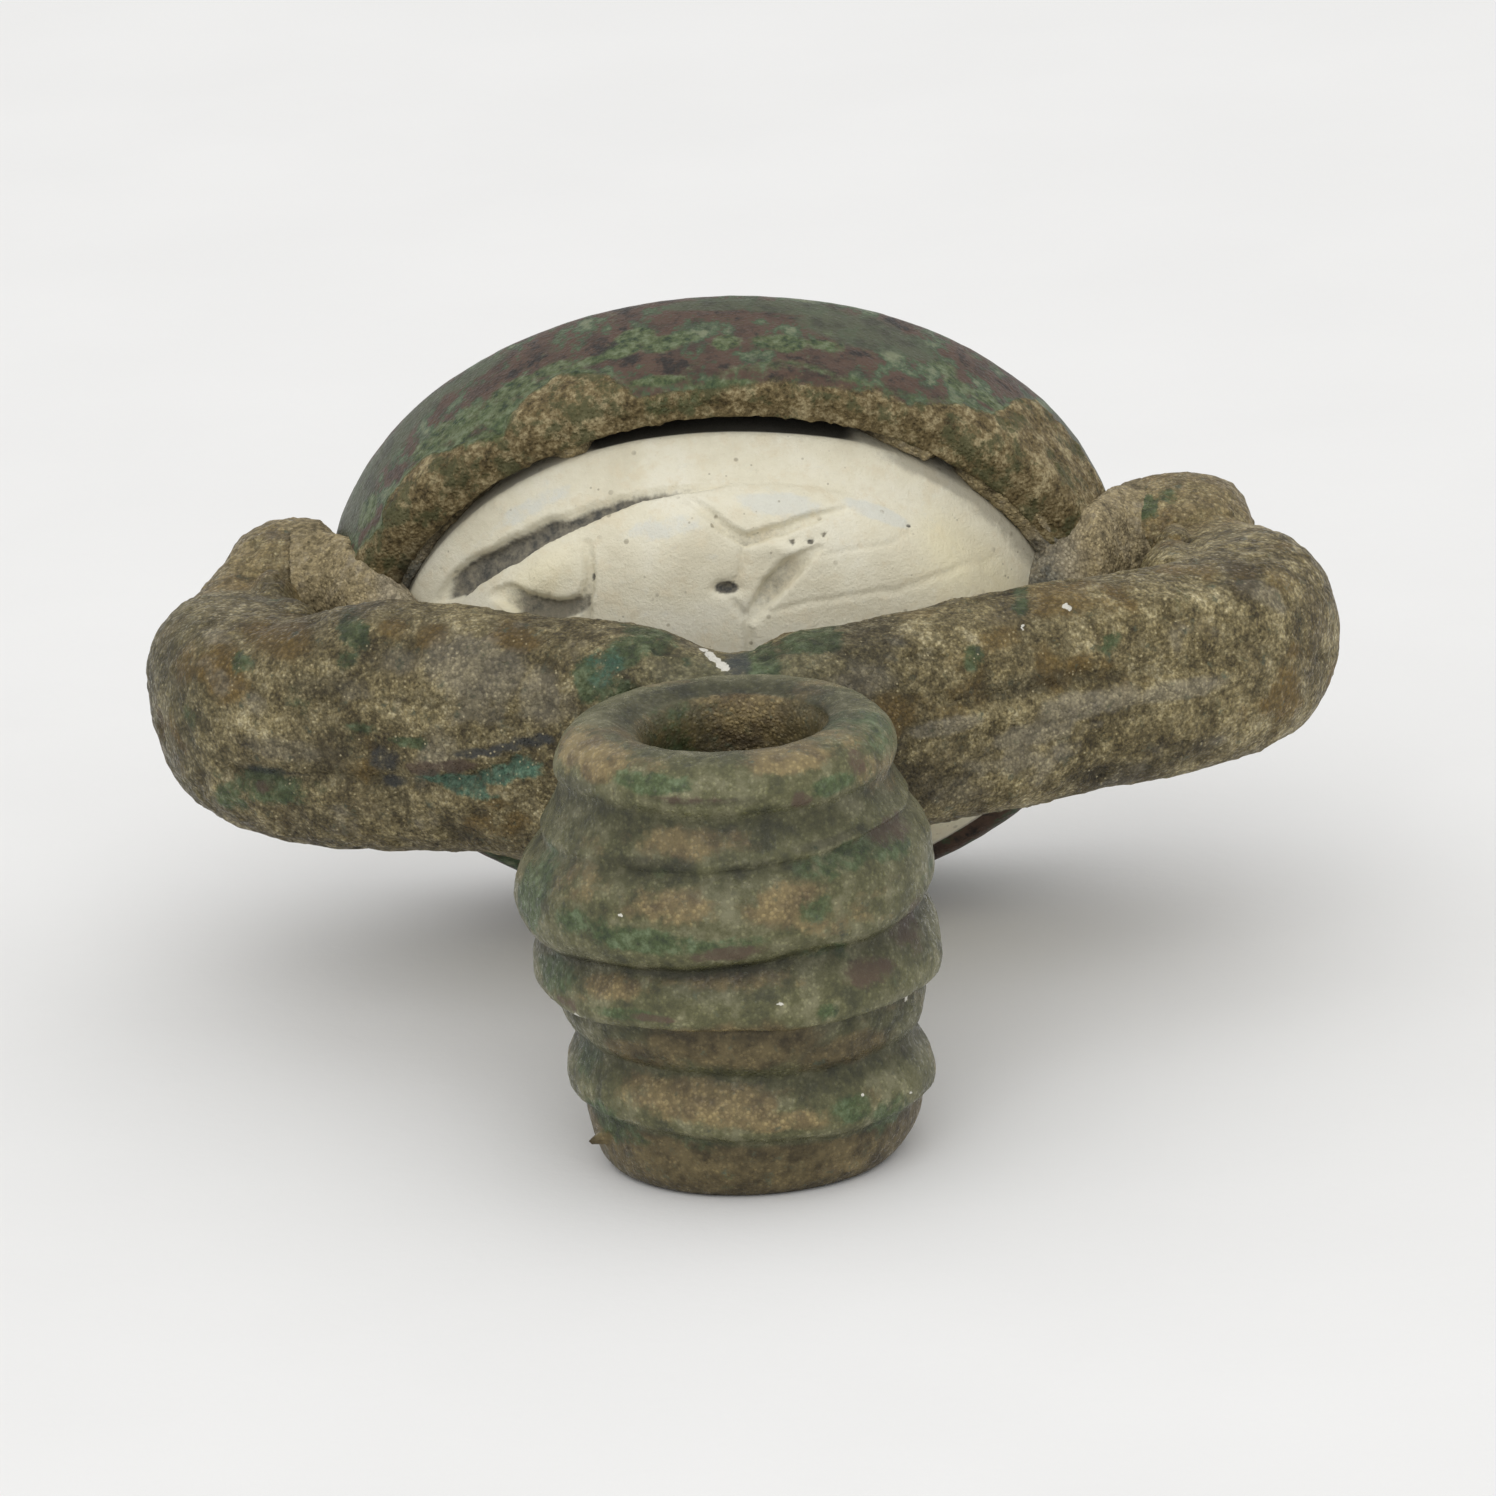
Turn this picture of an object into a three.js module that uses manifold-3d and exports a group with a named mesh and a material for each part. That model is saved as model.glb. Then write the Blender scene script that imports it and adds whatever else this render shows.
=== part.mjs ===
// Swivelling seal ring: a bent hoop with a ribbed cord tube at its middle, and
// between the hoop's inturned ends an oval bezel holding a carved scarab stone.
// Millimetres, +Z up. X runs along the swivel axis, +Y from the tube to the bezel.
import * as THREE from 'three';
import { mergeVertices } from 'three/addons/utils/BufferGeometryUtils.js';
import Module from 'manifold-3d';

const wasm = await Module();
wasm.setup();

// Swivel axis and the turn the seal lies at
const AXIS_Y = 11.1;
const SEAL_TURN = THREE.MathUtils.degToRad(-73);
const WORKING_GAP = 0.3;

// Hoop: plan of the right arm from the middle to the inturned end
const ARM_PLAN = [
  [3.95, 2.35],
  [6.85, 3.75],
  [8.9, 4.75],
  [10.4, 6.0],
  [10.88, 7.5],
  [10.5, 9.2],
  [9.95, 10.8],
];
const HOOP_MIDDLE_Y = 0.9;
const LEFT_ARM_REACH = 0.945;
const ARM_HALF_DEPTH = 1.65;
const BEND_HALF_DEPTH = 1.95;
const END_HALF_DEPTH = 1.15;
const LEFT_HALF_HEIGHT = 2.64;
const LEFT_SAG = 0.1;
const RIGHT_HALF_HEIGHT = 2.24;
const ARM_SQUARENESS = 2.35;
const MIDDLE_DIP = 0.5;
const HOOP_STATIONS = 58;
const SECTION_POINTS = 20;

// Knobs and pivots on the hoop's ends
const KNOB_RADIUS = 2.15;
const KNOB_LENGTH = 2.2;
const PIVOT_RADIUS = 0.65;
const PIVOT_ENTRY = 0.5;

// Cord tube, heights measured from the middle plane of the hoop
const TUBE_Y = -4.2;
const TUBE_TOP = 2.3;
const BORE_RADIUS = 1.8;
const BORE_FLARE = 0.4;
const LIP_RADIUS = 3.38;
const NECK_RADIUS = 3.24;
const TUBE_SEGMENTS = 32;
// each rib: height of its crest, radius of its crest, radius of the groove below
const RIBS = [
  { crest: -0.6, radius: 4.18, below: 3.84 },
  { crest: -2.55, radius: 4.12, below: 3.5 },
  { crest: -5.15, radius: 3.66, below: 3.2 },
];
const RIB_GROOVES = [-1.68, -4.25, -6.2];
const FOOT_RADIUS = 2.95;

// Bezel collar
const COLLAR_LENGTH = 17;
const COLLAR_WIDTH = 13.9;
const COLLAR_HEIGHT = 3.7;
const COLLAR_WALL = 1.0;
const COLLAR_END_WALL = 1.1;
const COLLAR_SEGMENTS = 72;

// Scarab stone
const STONE_LENGTH = 14.2;
const STONE_WIDTH = 11.3;
const FACE_LEVEL = 1.95;
const BACK_LEVEL = 5.2;
const PLINTH_INSET = 0.65;
const PLINTH_LEVEL = 2.75;
const STONE_SEGMENTS = 80;

/** Turns a triangle mesh right side out. */
function outward(geometry) {
  const p = geometry.getAttribute('position');
  const index = geometry.getIndex().array;
  const a = new THREE.Vector3();
  const b = new THREE.Vector3();
  const c = new THREE.Vector3();
  let volume = 0;
  for (let i = 0; i < index.length; i += 3) {
    a.fromBufferAttribute(p, index[i]);
    b.fromBufferAttribute(p, index[i + 1]);
    c.fromBufferAttribute(p, index[i + 2]);
    volume += a.dot(b.cross(c));
  }
  if (volume < 0) {
    for (let i = 0; i < index.length; i += 3) {
      const kept = index[i];
      index[i] = index[i + 1];
      index[i + 1] = kept;
    }
  }
  return geometry;
}

/** Skins rows of points that close round on themselves; open row ends get a cap. */
function skin(rows, rowsClose) {
  const columns = rows[0].length;
  const positions = rows.flat().flatMap((p) => [p.x, p.y, p.z]);
  const index = [];
  const bands = rowsClose ? rows.length : rows.length - 1;
  for (let i = 0; i < bands; i += 1) {
    const next = (i + 1) % rows.length;
    for (let j = 0; j < columns; j += 1) {
      const k = (j + 1) % columns;
      index.push(i * columns + j, i * columns + k, next * columns + k);
      index.push(i * columns + j, next * columns + k, next * columns + j);
    }
  }
  if (!rowsClose) {
    const last = rows.length - 1;
    for (const [row, flip] of [[0, true], [last, false]]) {
      const middle = new THREE.Vector3();
      rows[row].forEach((p) => middle.add(p));
      middle.divideScalar(columns);
      const hub = positions.length / 3;
      positions.push(middle.x, middle.y, middle.z);
      for (let j = 0; j < columns; j += 1) {
        const a = row * columns + j;
        const b = row * columns + ((j + 1) % columns);
        index.push(hub, flip ? b : a, flip ? a : b);
      }
    }
  }
  const geometry = new THREE.BufferGeometry();
  geometry.setAttribute('position', new THREE.Float32BufferAttribute(positions, 3));
  geometry.setIndex(index);
  return outward(geometry);
}

/** Reads a three.js geometry into a manifold solid. */
function solid(geometry) {
  const bare = geometry.clone();
  bare.deleteAttribute('normal');
  bare.deleteAttribute('uv');
  const merged = outward(mergeVertices(bare, 1e-4));
  return new wasm.Manifold(new wasm.Mesh({
    numProp: 3,
    vertProperties: new Float32Array(merged.getAttribute('position').array),
    triVerts: new Uint32Array(merged.getIndex().array),
  }));
}

/** Reads a manifold solid back as a three.js geometry. */
function surface(body) {
  const mesh = body.getMesh();
  const geometry = new THREE.BufferGeometry();
  const points = new Float32Array(mesh.vertProperties);
  geometry.setAttribute('position', new THREE.BufferAttribute(points, 3));
  geometry.setIndex(new THREE.BufferAttribute(new Uint32Array(mesh.triVerts), 1));
  return geometry;
}

/** A bar round the swivel axis between two places along X. */
function barAlongAxis(radius, from, to) {
  const bar = new THREE.CylinderGeometry(radius, radius, Math.abs(to - from), 24);
  bar.rotateZ(Math.PI / 2);
  bar.translate((from + to) / 2, AXIS_Y, 0);
  return solid(bar);
}

/** Lifts a seal-local solid into its place between the hoop's ends. */
function seat(geometry) {
  geometry.rotateX(SEAL_TURN);
  geometry.translate(0, AXIS_Y, 0);
  return geometry;
}

const bump = (value, middle, width) => Math.exp(-(((value - middle) / width) ** 2));
const roundPower = (value, power) => Math.sign(value) * Math.abs(value) ** power;
const ease = THREE.MathUtils.smoothstep;

// Bezel collar
function collarProfile() {
  const half = COLLAR_HEIGHT / 2;
  // inset from the outer oval, height towards the seal face
  return [
    [1.0, half - 0.12],
    [0.45, half],
    [0.14, half - 0.3],
    [0.02, half - 0.95],
    [0, 0.1],
    [0.03, -0.75],
    [0.14, -half + 0.35],
    [0.45, -half],
    [1.0, -half + 0.1],
    [1.0, 0],
  ];
}

function collarGeometry() {
  const rows = [];
  for (let j = 0; j < COLLAR_SEGMENTS; j += 1) {
    const turn = (j / COLLAR_SEGMENTS) * Math.PI * 2;
    const endShare = Math.cos(turn) ** 6;
    const wall = THREE.MathUtils.lerp(COLLAR_WALL, COLLAR_END_WALL, endShare);
    rows.push(collarProfile().map(([inset, height]) => new THREE.Vector3(
      (COLLAR_LENGTH / 2 - inset * wall) * Math.cos(turn),
      (COLLAR_WIDTH / 2 - inset * wall) * Math.sin(turn),
      height,
    )));
  }
  const ring = solid(seat(skin(rows, true)));
  const reach = COLLAR_LENGTH / 2 + 1;
  const pivotHoles = barAlongAxis(PIVOT_RADIUS + WORKING_GAP, -reach, 1 - COLLAR_LENGTH / 2 + 0.4)
    .add(barAlongAxis(PIVOT_RADIUS + WORKING_GAP, COLLAR_LENGTH / 2 - 1.4, reach));
  return surface(ring.subtract(pivotHoles));
}

const collar = collarGeometry();
collar.computeBoundingBox();
// the tube's foot and the collar's lower lip stand on one level
const FOOT_LEVEL = collar.boundingBox.min.z;

// Hoop with its tube
function armSection(x, y) {
  const side = ease(x, -3, 3);
  const end = ease(y, 7.4, 10.6);
  const height = THREE.MathUtils.lerp(LEFT_HALF_HEIGHT, RIGHT_HALF_HEIGHT, side);
  const depth = THREE.MathUtils.lerp(ARM_HALF_DEPTH, BEND_HALF_DEPTH, ease(y, 3.8, 7.5));
  return {
    halfDepth: THREE.MathUtils.lerp(depth, END_HALF_DEPTH, end),
    halfHeight: THREE.MathUtils.lerp(height, KNOB_RADIUS - 0.25, end),
    squareness: THREE.MathUtils.lerp(ARM_SQUARENESS, 2, end),
    dip: MIDDLE_DIP * bump(x, 0, 1.1),
    sag: LEFT_SAG * (1 - side) * (1 - end),
    castLine: (1 - end) * (1 - bump(x, 0, 2.2)),
  };
}

function armSweep() {
  const right = ARM_PLAN.map(([x, y]) => new THREE.Vector3(x, y, 0));
  const left = ARM_PLAN.map(([x, y]) => {
    const reach = THREE.MathUtils.lerp(LEFT_ARM_REACH, 1, ease(y, 7, 10));
    return new THREE.Vector3(-x * reach, y, 0);
  }).reverse();
  const middle = new THREE.Vector3(0, HOOP_MIDDLE_Y, 0);
  const line = new THREE.CatmullRomCurve3([...left, middle, ...right], false, 'centripetal');
  const rows = [];
  for (let i = 0; i <= HOOP_STATIONS; i += 1) {
    const at = line.getPointAt(i / HOOP_STATIONS);
    const along = line.getTangentAt(i / HOOP_STATIONS);
    const back = new THREE.Vector3(-along.y, along.x, 0);
    const shape = armSection(at.x, at.y);
    const row = [];
    for (let j = 0; j < SECTION_POINTS; j += 1) {
      const turn = (j / SECTION_POINTS) * Math.PI * 2;
      const power = 2 / shape.squareness;
      let across = shape.halfDepth * roundPower(Math.cos(turn), power);
      let up = shape.halfHeight * roundPower(Math.sin(turn), power);
      // a long shallow groove low on the outer face of each arm
      across += 0.16 * shape.castLine * bump(j, 11, 0.5);
      up -= shape.sag + shape.dip * Math.max(0, Math.sin(turn));
      row.push(at.clone().addScaledVector(back, across).setZ(up));
    }
    rows.push(row);
  }
  return solid(skin(rows, false));
}

function tubeBody() {
  const profile = [
    [0, TUBE_TOP],
    [LIP_RADIUS - 0.85, TUBE_TOP],
    [LIP_RADIUS - 0.35, TUBE_TOP - 0.12],
    [LIP_RADIUS - 0.05, TUBE_TOP - 0.42],
    [LIP_RADIUS, TUBE_TOP - 0.8],
    [NECK_RADIUS, TUBE_TOP - 1.2],
    [THREE.MathUtils.lerp(NECK_RADIUS, RIBS[0].radius, 0.35), TUBE_TOP - 1.7],
  ];
  RIBS.forEach((rib, i) => {
    const before = i === 0 ? LIP_RADIUS : RIBS[i - 1].below;
    const groove = RIB_GROOVES[i];
    const drop = rib.crest - groove;
    profile.push([THREE.MathUtils.lerp(before, rib.radius, 0.75), rib.crest + 0.5]);
    profile.push([rib.radius, rib.crest]);
    profile.push([THREE.MathUtils.lerp(rib.radius, rib.below, 0.35), rib.crest - drop * 0.6]);
    profile.push([rib.below, groove]);
  });
  profile.push([FOOT_RADIUS + 0.12, FOOT_LEVEL + 0.22]);
  profile.push([FOOT_RADIUS - 0.12, FOOT_LEVEL]);
  profile.push([0, FOOT_LEVEL]);
  const body = new THREE.LatheGeometry(
    profile.map(([radius, height]) => new THREE.Vector2(radius, height)),
    TUBE_SEGMENTS,
  );
  body.rotateX(Math.PI / 2);
  body.translate(0, TUBE_Y, 0);
  return solid(body);
}

function tubeBore() {
  const flareStart = TUBE_TOP - 0.75;
  const profile = [
    [0, FOOT_LEVEL - 1],
    [BORE_RADIUS, FOOT_LEVEL - 1],
    [BORE_RADIUS, flareStart],
    [BORE_RADIUS + BORE_FLARE * 0.4, TUBE_TOP - 0.2],
    [BORE_RADIUS + BORE_FLARE, TUBE_TOP + 0.1],
    [BORE_RADIUS + BORE_FLARE, TUBE_TOP + 2],
    [0, TUBE_TOP + 2],
  ];
  const bore = new THREE.LatheGeometry(
    profile.map(([radius, height]) => new THREE.Vector2(radius, height)),
    TUBE_SEGMENTS,
  );
  bore.rotateX(Math.PI / 2);
  bore.translate(0, TUBE_Y, 0);
  return solid(bore);
}

/** Rounded knob on one end of the hoop; side is 1 for the right end, -1 for the left. */
function endKnob(side) {
  const r = KNOB_RADIUS;
  const profile = [
    [0, 0],
    [r - 0.2, 0],
    [r, 0.22],
    [r, KNOB_LENGTH - 0.75],
    [r - 0.25, KNOB_LENGTH - 0.3],
    [r - 0.75, KNOB_LENGTH - 0.04],
    [0, KNOB_LENGTH],
  ];
  const knob = new THREE.LatheGeometry(
    profile.map(([radius, height]) => new THREE.Vector2(radius, height)),
    24,
  );
  knob.rotateZ(side * -Math.PI / 2);
  knob.translate(side * (COLLAR_LENGTH / 2 + WORKING_GAP), AXIS_Y, 0);
  return solid(knob);
}

function neckSaddle() {
  const saddle = new THREE.SphereGeometry(1, 20, 12);
  saddle.scale(2.7, 2.5, 1.75);
  saddle.translate(0, -1.2, 0);
  return solid(saddle);
}

function hoopGeometry() {
  const faceX = COLLAR_LENGTH / 2 + WORKING_GAP;
  const clear = new THREE.BoxGeometry(faceX * 2, 8, 10);
  clear.translate(0, AXIS_Y + 1.3, 0);
  const entry = COLLAR_LENGTH / 2 - PIVOT_ENTRY;
  const body = armSweep()
    .subtract(solid(clear))
    .add(endKnob(1))
    .add(endKnob(-1))
    .add(tubeBody())
    .add(neckSaddle())
    .subtract(tubeBore())
    .add(barAlongAxis(PIVOT_RADIUS, entry, faceX + 0.5))
    .add(barAlongAxis(PIVOT_RADIUS, -faceX - 0.5, -entry));
  return surface(body);
}

// Scarab stone: level of the carved back at a given inset from its widest oval
function stoneLevel(inset) {
  const lip = COLLAR_HEIGHT / 2;
  if (inset <= PLINTH_INSET) {
    return THREE.MathUtils.lerp(lip, PLINTH_LEVEL, inset / PLINTH_INSET);
  }
  const half = STONE_WIDTH / 2;
  const out = (half - inset) / (half - PLINTH_INSET);
  return PLINTH_LEVEL + (BACK_LEVEL - PLINTH_LEVEL) * (1 - out ** 2.6) ** 0.6;
}

// Carved lines of the back as [length station, inset] paths, alike on both flanks
const CARVED_LINES = [
  { path: [[-6.1, 0.3], [-4.0, 0.57], [-2.1, 0.57], [-0.5, 0.54]], depth: 0.42, fade: 0.3, width: 0.26 },
  { path: [[-0.75, 0.78], [0.25, 1.12], [0.3, 2.3], [0.3, 5.6]], depth: 0.2, fade: 1, width: 0.26 },
  { path: [[0.25, 1.12], [1.0, 0.91], [2.3, 0.67]], depth: 0.2, fade: 0.6, width: 0.24 },
  { path: [[0.3, 2.3], [0.67, 1.87], [1.7, 1.2]], depth: 0.26, fade: 0.4, width: 0.28 },
  { path: [[-3.0, 0.7], [-3.05, 1.5], [-3.1, 5.6]], depth: 0.2, fade: 1, width: 0.28 },
  { path: [[-6.0, 0.45], [-4.6, 0.96]], depth: 0.2, fade: 1, width: 0.25 },
];

function lineDepth(x, inset, { path, depth, fade, width }) {
  let deepest = 0;
  for (let i = 1; i < path.length; i += 1) {
    const [ax, ay] = path[i - 1];
    const [bx, by] = path[i];
    const span = (bx - ax) ** 2 + (by - ay) ** 2;
    const share = THREE.MathUtils.clamp(((x - ax) * (bx - ax) + (inset - ay) * (by - ay)) / span, 0, 1);
    const away = Math.hypot(x - ax - share * (bx - ax), inset - ay - share * (by - ay));
    const along = (i - 1 + share) / (path.length - 1);
    const here = depth * THREE.MathUtils.lerp(1, fade, along) * bump(away, 0, width);
    deepest = Math.max(deepest, here);
  }
  return deepest;
}

function stonePoint(turn, inset) {
  const halfLength = STONE_LENGTH / 2;
  const halfWidth = STONE_WIDTH / 2;
  const share = 1 - inset / halfWidth;
  const x = halfLength * share * Math.cos(turn);
  const rise = (stoneLevel(inset + 0.02) - stoneLevel(Math.max(0, inset - 0.02))) / 0.04;
  const slope = Math.hypot(rise, 1);
  let depth = 0;
  CARVED_LINES.forEach((line) => {
    depth = Math.max(depth, lineDepth(x, inset, line));
  });
  const inward = Math.min(depth * rise / slope, halfWidth * share * 0.4);
  const shrink = share - inward / halfWidth;
  return new THREE.Vector3(
    halfLength * shrink * Math.cos(turn),
    halfWidth * shrink * Math.sin(turn),
    -(stoneLevel(inset) - depth / slope),
  );
}

function stoneGeometry() {
  const lip = COLLAR_HEIGHT / 2;
  // plain sides from the seal face to the lip of the collar
  const sides = [
    [0.22, FACE_LEVEL],
    [0, FACE_LEVEL - 0.25],
    [0, -lip + 0.6],
  ];
  const insets = [0, 0.2, 0.38, 0.52, 0.65, 0.78, 0.95, 1.15, 1.4, 1.7, 2.05, 2.45, 2.9, 3.4, 4.0, 4.6, 5.2];
  const rows = [...sides, ...insets].map((station) => {
    const row = [];
    for (let j = 0; j < STONE_SEGMENTS; j += 1) {
      const turn = (j / STONE_SEGMENTS) * Math.PI * 2;
      if (Array.isArray(station)) {
        const [inset, height] = station;
        row.push(new THREE.Vector3(
          (STONE_LENGTH / 2 - inset) * Math.cos(turn),
          (STONE_WIDTH / 2 - inset) * Math.sin(turn),
          height,
        ));
      } else {
        row.push(stonePoint(turn, station));
      }
    }
    return row;
  });
  return seat(skin(rows, false));
}

const seal = new THREE.Group();
seal.name = 'swivel_seal_ring';
const bronze = new THREE.MeshStandardMaterial({ color: 0x6b5a3c, metalness: 0.3, roughness: 0.85 });
const lining = new THREE.MeshStandardMaterial({ color: 0x54493a, metalness: 0.4, roughness: 0.7 });
const stone = new THREE.MeshStandardMaterial({ color: 0xd8cfb8, metalness: 0, roughness: 0.8 });
const pieces = [
  ['hoop', hoopGeometry(), bronze],
  ['collar', collar, lining],
  ['scarab', stoneGeometry(), stone],
];
const extent = new THREE.Box3();
pieces.forEach(([, geometry]) => {
  geometry.computeBoundingBox();
  extent.union(geometry.boundingBox);
});
const middle = extent.getCenter(new THREE.Vector3());
pieces.forEach(([name, geometry, material]) => {
  geometry.translate(-middle.x, -middle.y, -extent.min.z);
  const mesh = new THREE.Mesh(geometry, material);
  mesh.name = name;
  seal.add(mesh);
});

export default seal;
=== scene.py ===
"""Looks of a swivelling seal ring on a plain pale floor.

A crusted bronze hoop carries a ribbed cord tube at its middle. Between the hoop's
inturned ends an oval bronze collar holds a carved pale scarab, and old earth sits
in the joints. Shapes are worked in millimetres and placed in metres.
"""
import logging
import math
from dataclasses import dataclass, field
from enum import Enum
from typing import Sequence

import bmesh
import bpy
import numpy as np
from mathutils import Matrix, Vector


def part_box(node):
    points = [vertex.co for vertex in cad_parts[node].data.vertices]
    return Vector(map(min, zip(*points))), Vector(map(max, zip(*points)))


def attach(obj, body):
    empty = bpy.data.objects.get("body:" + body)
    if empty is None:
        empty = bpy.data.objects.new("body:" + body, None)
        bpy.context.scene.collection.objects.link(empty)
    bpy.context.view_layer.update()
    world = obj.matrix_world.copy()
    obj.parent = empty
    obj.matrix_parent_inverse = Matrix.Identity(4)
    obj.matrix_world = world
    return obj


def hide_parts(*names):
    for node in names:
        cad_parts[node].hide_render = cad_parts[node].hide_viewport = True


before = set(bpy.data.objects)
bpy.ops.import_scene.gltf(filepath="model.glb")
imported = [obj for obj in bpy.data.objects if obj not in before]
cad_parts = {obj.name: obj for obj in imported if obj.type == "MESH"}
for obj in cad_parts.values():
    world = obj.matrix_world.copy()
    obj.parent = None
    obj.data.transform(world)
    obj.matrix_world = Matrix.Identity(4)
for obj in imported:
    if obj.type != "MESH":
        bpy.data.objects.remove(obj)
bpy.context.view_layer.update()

LOG = logging.getLogger("seal_ring")
MM = 0.001
AXIS_Y = 11.1  # swivel axis, from the front of the hoop, in millimetres
TUBE_Y = -4.2  # middle of the cord tube
BORE_RADIUS = 1.8
STONE_HALF_LENGTH = 7.1
STONE_HALF_WIDTH = 5.65
Array = np.ndarray
Point = tuple[float, float, float]
Colour = tuple[float, float, float]
Path = tuple[tuple[float, float], ...]
Socket = bpy.types.NodeSocket


class Body(Enum):
    """Moving bodies that a piece can ride on."""

    HOOP = "hoop"
    SEAL = "seal"


class Slot(Enum):
    """Names of material slots, the same as the names of the finishes."""

    CRUSTED_BRONZE = "crusted_bronze"
    COLLAR_BRONZE = "collar_bronze"
    PALE_STONE = "pale_stone"


class Side(Enum):
    """Left and right end of the hoop, as signs along X."""

    LEFT = -1
    RIGHT = 1


class Tone(Enum):
    """Kinds of patch on the bronze, named as the covers that the finish reads."""

    GREEN = "green"
    TEAL = "teal"
    TAN = "tan"
    GOLD = "gold"
    ASH = "ash"
    BARE = "bare"
    # dark patches, partly painted shade in creases and the bore; stored as the dark cover
    DARK = "dark"
    INK = "ink"
    RUST = "rust"
    CHALK = "chalk"


# --- small sums -------------------------------------------------------------


def ease(value: Array | float, low: float, high: float) -> Array:
    """Returns a smooth step from 0 at low to 1 at high."""
    share = np.clip((np.asarray(value, dtype=float) - low) / (high - low), 0.0, 1.0)
    return share * share * (3.0 - 2.0 * share)


def hump(value: Array | float, middle: float, width: float) -> Array:
    """Returns a bell of height 1 round the middle value."""
    return np.exp(-(((np.asarray(value, dtype=float) - middle) / width) ** 2))


def mixed(low: Array | float, high: Array | float, share: Array | float) -> Array:
    """Returns the value a share of the way from low to high."""
    return low + (high - low) * share


def full_turn(count: int) -> Array:
    """Returns evenly spaced angles round a full turn."""
    return np.linspace(0.0, 2.0 * math.pi, count, endpoint=False)


def height_at(path: Path, value: Array | float) -> Array:
    """Returns the height of a path at each place along it."""
    return np.interp(value, *zip(*path))


def placed(name: str, data: bpy.types.ID) -> bpy.types.Object:
    """Returns a new object of some data, linked to the scene."""
    made = bpy.data.objects.new(name, data)
    bpy.context.scene.collection.objects.link(made)
    return made


def path_distance(points: Array, path: Path) -> tuple[Array, Array]:
    """Measures how far points lie from a path in a plane.

    Args:
        points: Two columns of places.
        path: Corner points of the path.

    Returns:
        Distance to the path, and the share of its length at the nearest place.
    """
    corners = np.array(path, dtype=float)
    lengths = np.linalg.norm(np.diff(corners, axis=0), axis=1)
    whole = lengths.sum()
    nearest = np.full(len(points), 1e9)
    along = np.zeros(len(points))
    done = 0.0
    for start, end, length in zip(corners[:-1], corners[1:], lengths):
        share = np.clip(((points - start) @ (end - start)) / length**2, 0.0, 1.0)
        away = np.linalg.norm(points - start - share[:, None] * (end - start), axis=1)
        closer = away < nearest
        nearest = np.where(closer, away, nearest)
        along = np.where(closer, (done + share * length) / whole, along)
        done += length
    return nearest, along


class Grain:
    """Seeded noise in space, for lumps, grit and stains."""

    def __init__(self, seed: int) -> None:
        """Draws the tables.

        Args:
            seed: Number that fixes every later value.
        """
        draw = np.random.default_rng(seed)
        self.table: Array = draw.permutation(256)
        slopes = draw.normal(size=(256, 3))
        self.slopes: Array = slopes / np.linalg.norm(slopes, axis=1, keepdims=True)
        self.spots: Array = draw.random((256, 3))
        self.values: Array = draw.random(256)
        self.offset: Array = draw.random(3) * 64.0 + 64.0

    def pick(self, cell: Array) -> Array:
        """Returns the table entry of each cell."""
        x, y, z = (cell & 255).T
        return self.table[(self.table[(self.table[x] + y) & 255] + z) & 255]

    def waves(self, points: Array, size: float) -> Array:
        """Samples smooth noise.

        Args:
            points: Places in millimetres.
            size: Width of one swell in millimetres.

        Returns:
            Values from about -1 to 1.
        """
        at = points / size + self.offset
        base = np.floor(at).astype(np.int64)
        part = at - base
        soft = part**3 * (part * (part * 6.0 - 15.0) + 10.0)
        total = np.zeros(len(points))
        for corner in range(8):
            step = np.array([corner & 1, corner >> 1 & 1, corner >> 2 & 1])
            slope = self.slopes[self.pick(base + step)]
            weight = np.prod(np.where(step == 1, soft, 1.0 - soft), axis=1)
            total += weight * np.einsum("ij,ij->i", slope, part - step)
        return total * 1.6

    def layered(self, points: Array, size: float, layers: int = 3) -> Array:
        """Adds finer and fainter layers of smooth noise.

        Args:
            points: Places in millimetres.
            size: Width of the widest swell in millimetres.
            layers: Number of layers, each half as wide and half as strong.

        Returns:
            Values from about -1 to 1.
        """
        total = np.zeros(len(points))
        for layer in range(layers):
            total += self.waves(points + 17.3 * layer, size / 2**layer) / 2**layer
        return total / 1.5

    def cells(self, points: Array, size: float) -> tuple[Array, Array]:
        """Finds the nearest of scattered grains.

        Args:
            points: Places in millimetres.
            size: Mean spacing of the grains in millimetres.

        Returns:
            Distance to the nearest grain in spacings, and that grain's own value.
        """
        at = points / size + self.offset
        base = np.floor(at).astype(np.int64)
        nearest = np.full(len(points), 9.0)
        value = np.zeros(len(points))
        for i in (-1, 0, 1):
            for j in (-1, 0, 1):
                for k in (-1, 0, 1):
                    cell = base + np.array([i, j, k])
                    pick = self.pick(cell)
                    away = np.linalg.norm(at - cell - self.spots[pick], axis=1)
                    closer = away < nearest
                    nearest = np.where(closer, away, nearest)
                    value = np.where(closer, self.values[pick], value)
        return nearest, value

    def domes(self, points: Array, size: float, low: float, high: float) -> Array:
        """Finds the height of scattered domed grains.

        Args:
            points: Places in millimetres.
            size: Mean spacing of the grains in millimetres.
            low: Value below which a grain is left out.
            high: Value from which a grain stands at its full height.

        Returns:
            Heights from 0 to 1.
        """
        nearest, value = self.cells(points, size)
        return ease(0.62 - nearest, 0.0, 0.5) * ease(value, low, high)


@dataclass(frozen=True)
class Stain:
    """One patch of colour: its middle, its reach along each axis and its strength."""

    at: Point
    reach: Point
    share: float = 1.0


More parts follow.
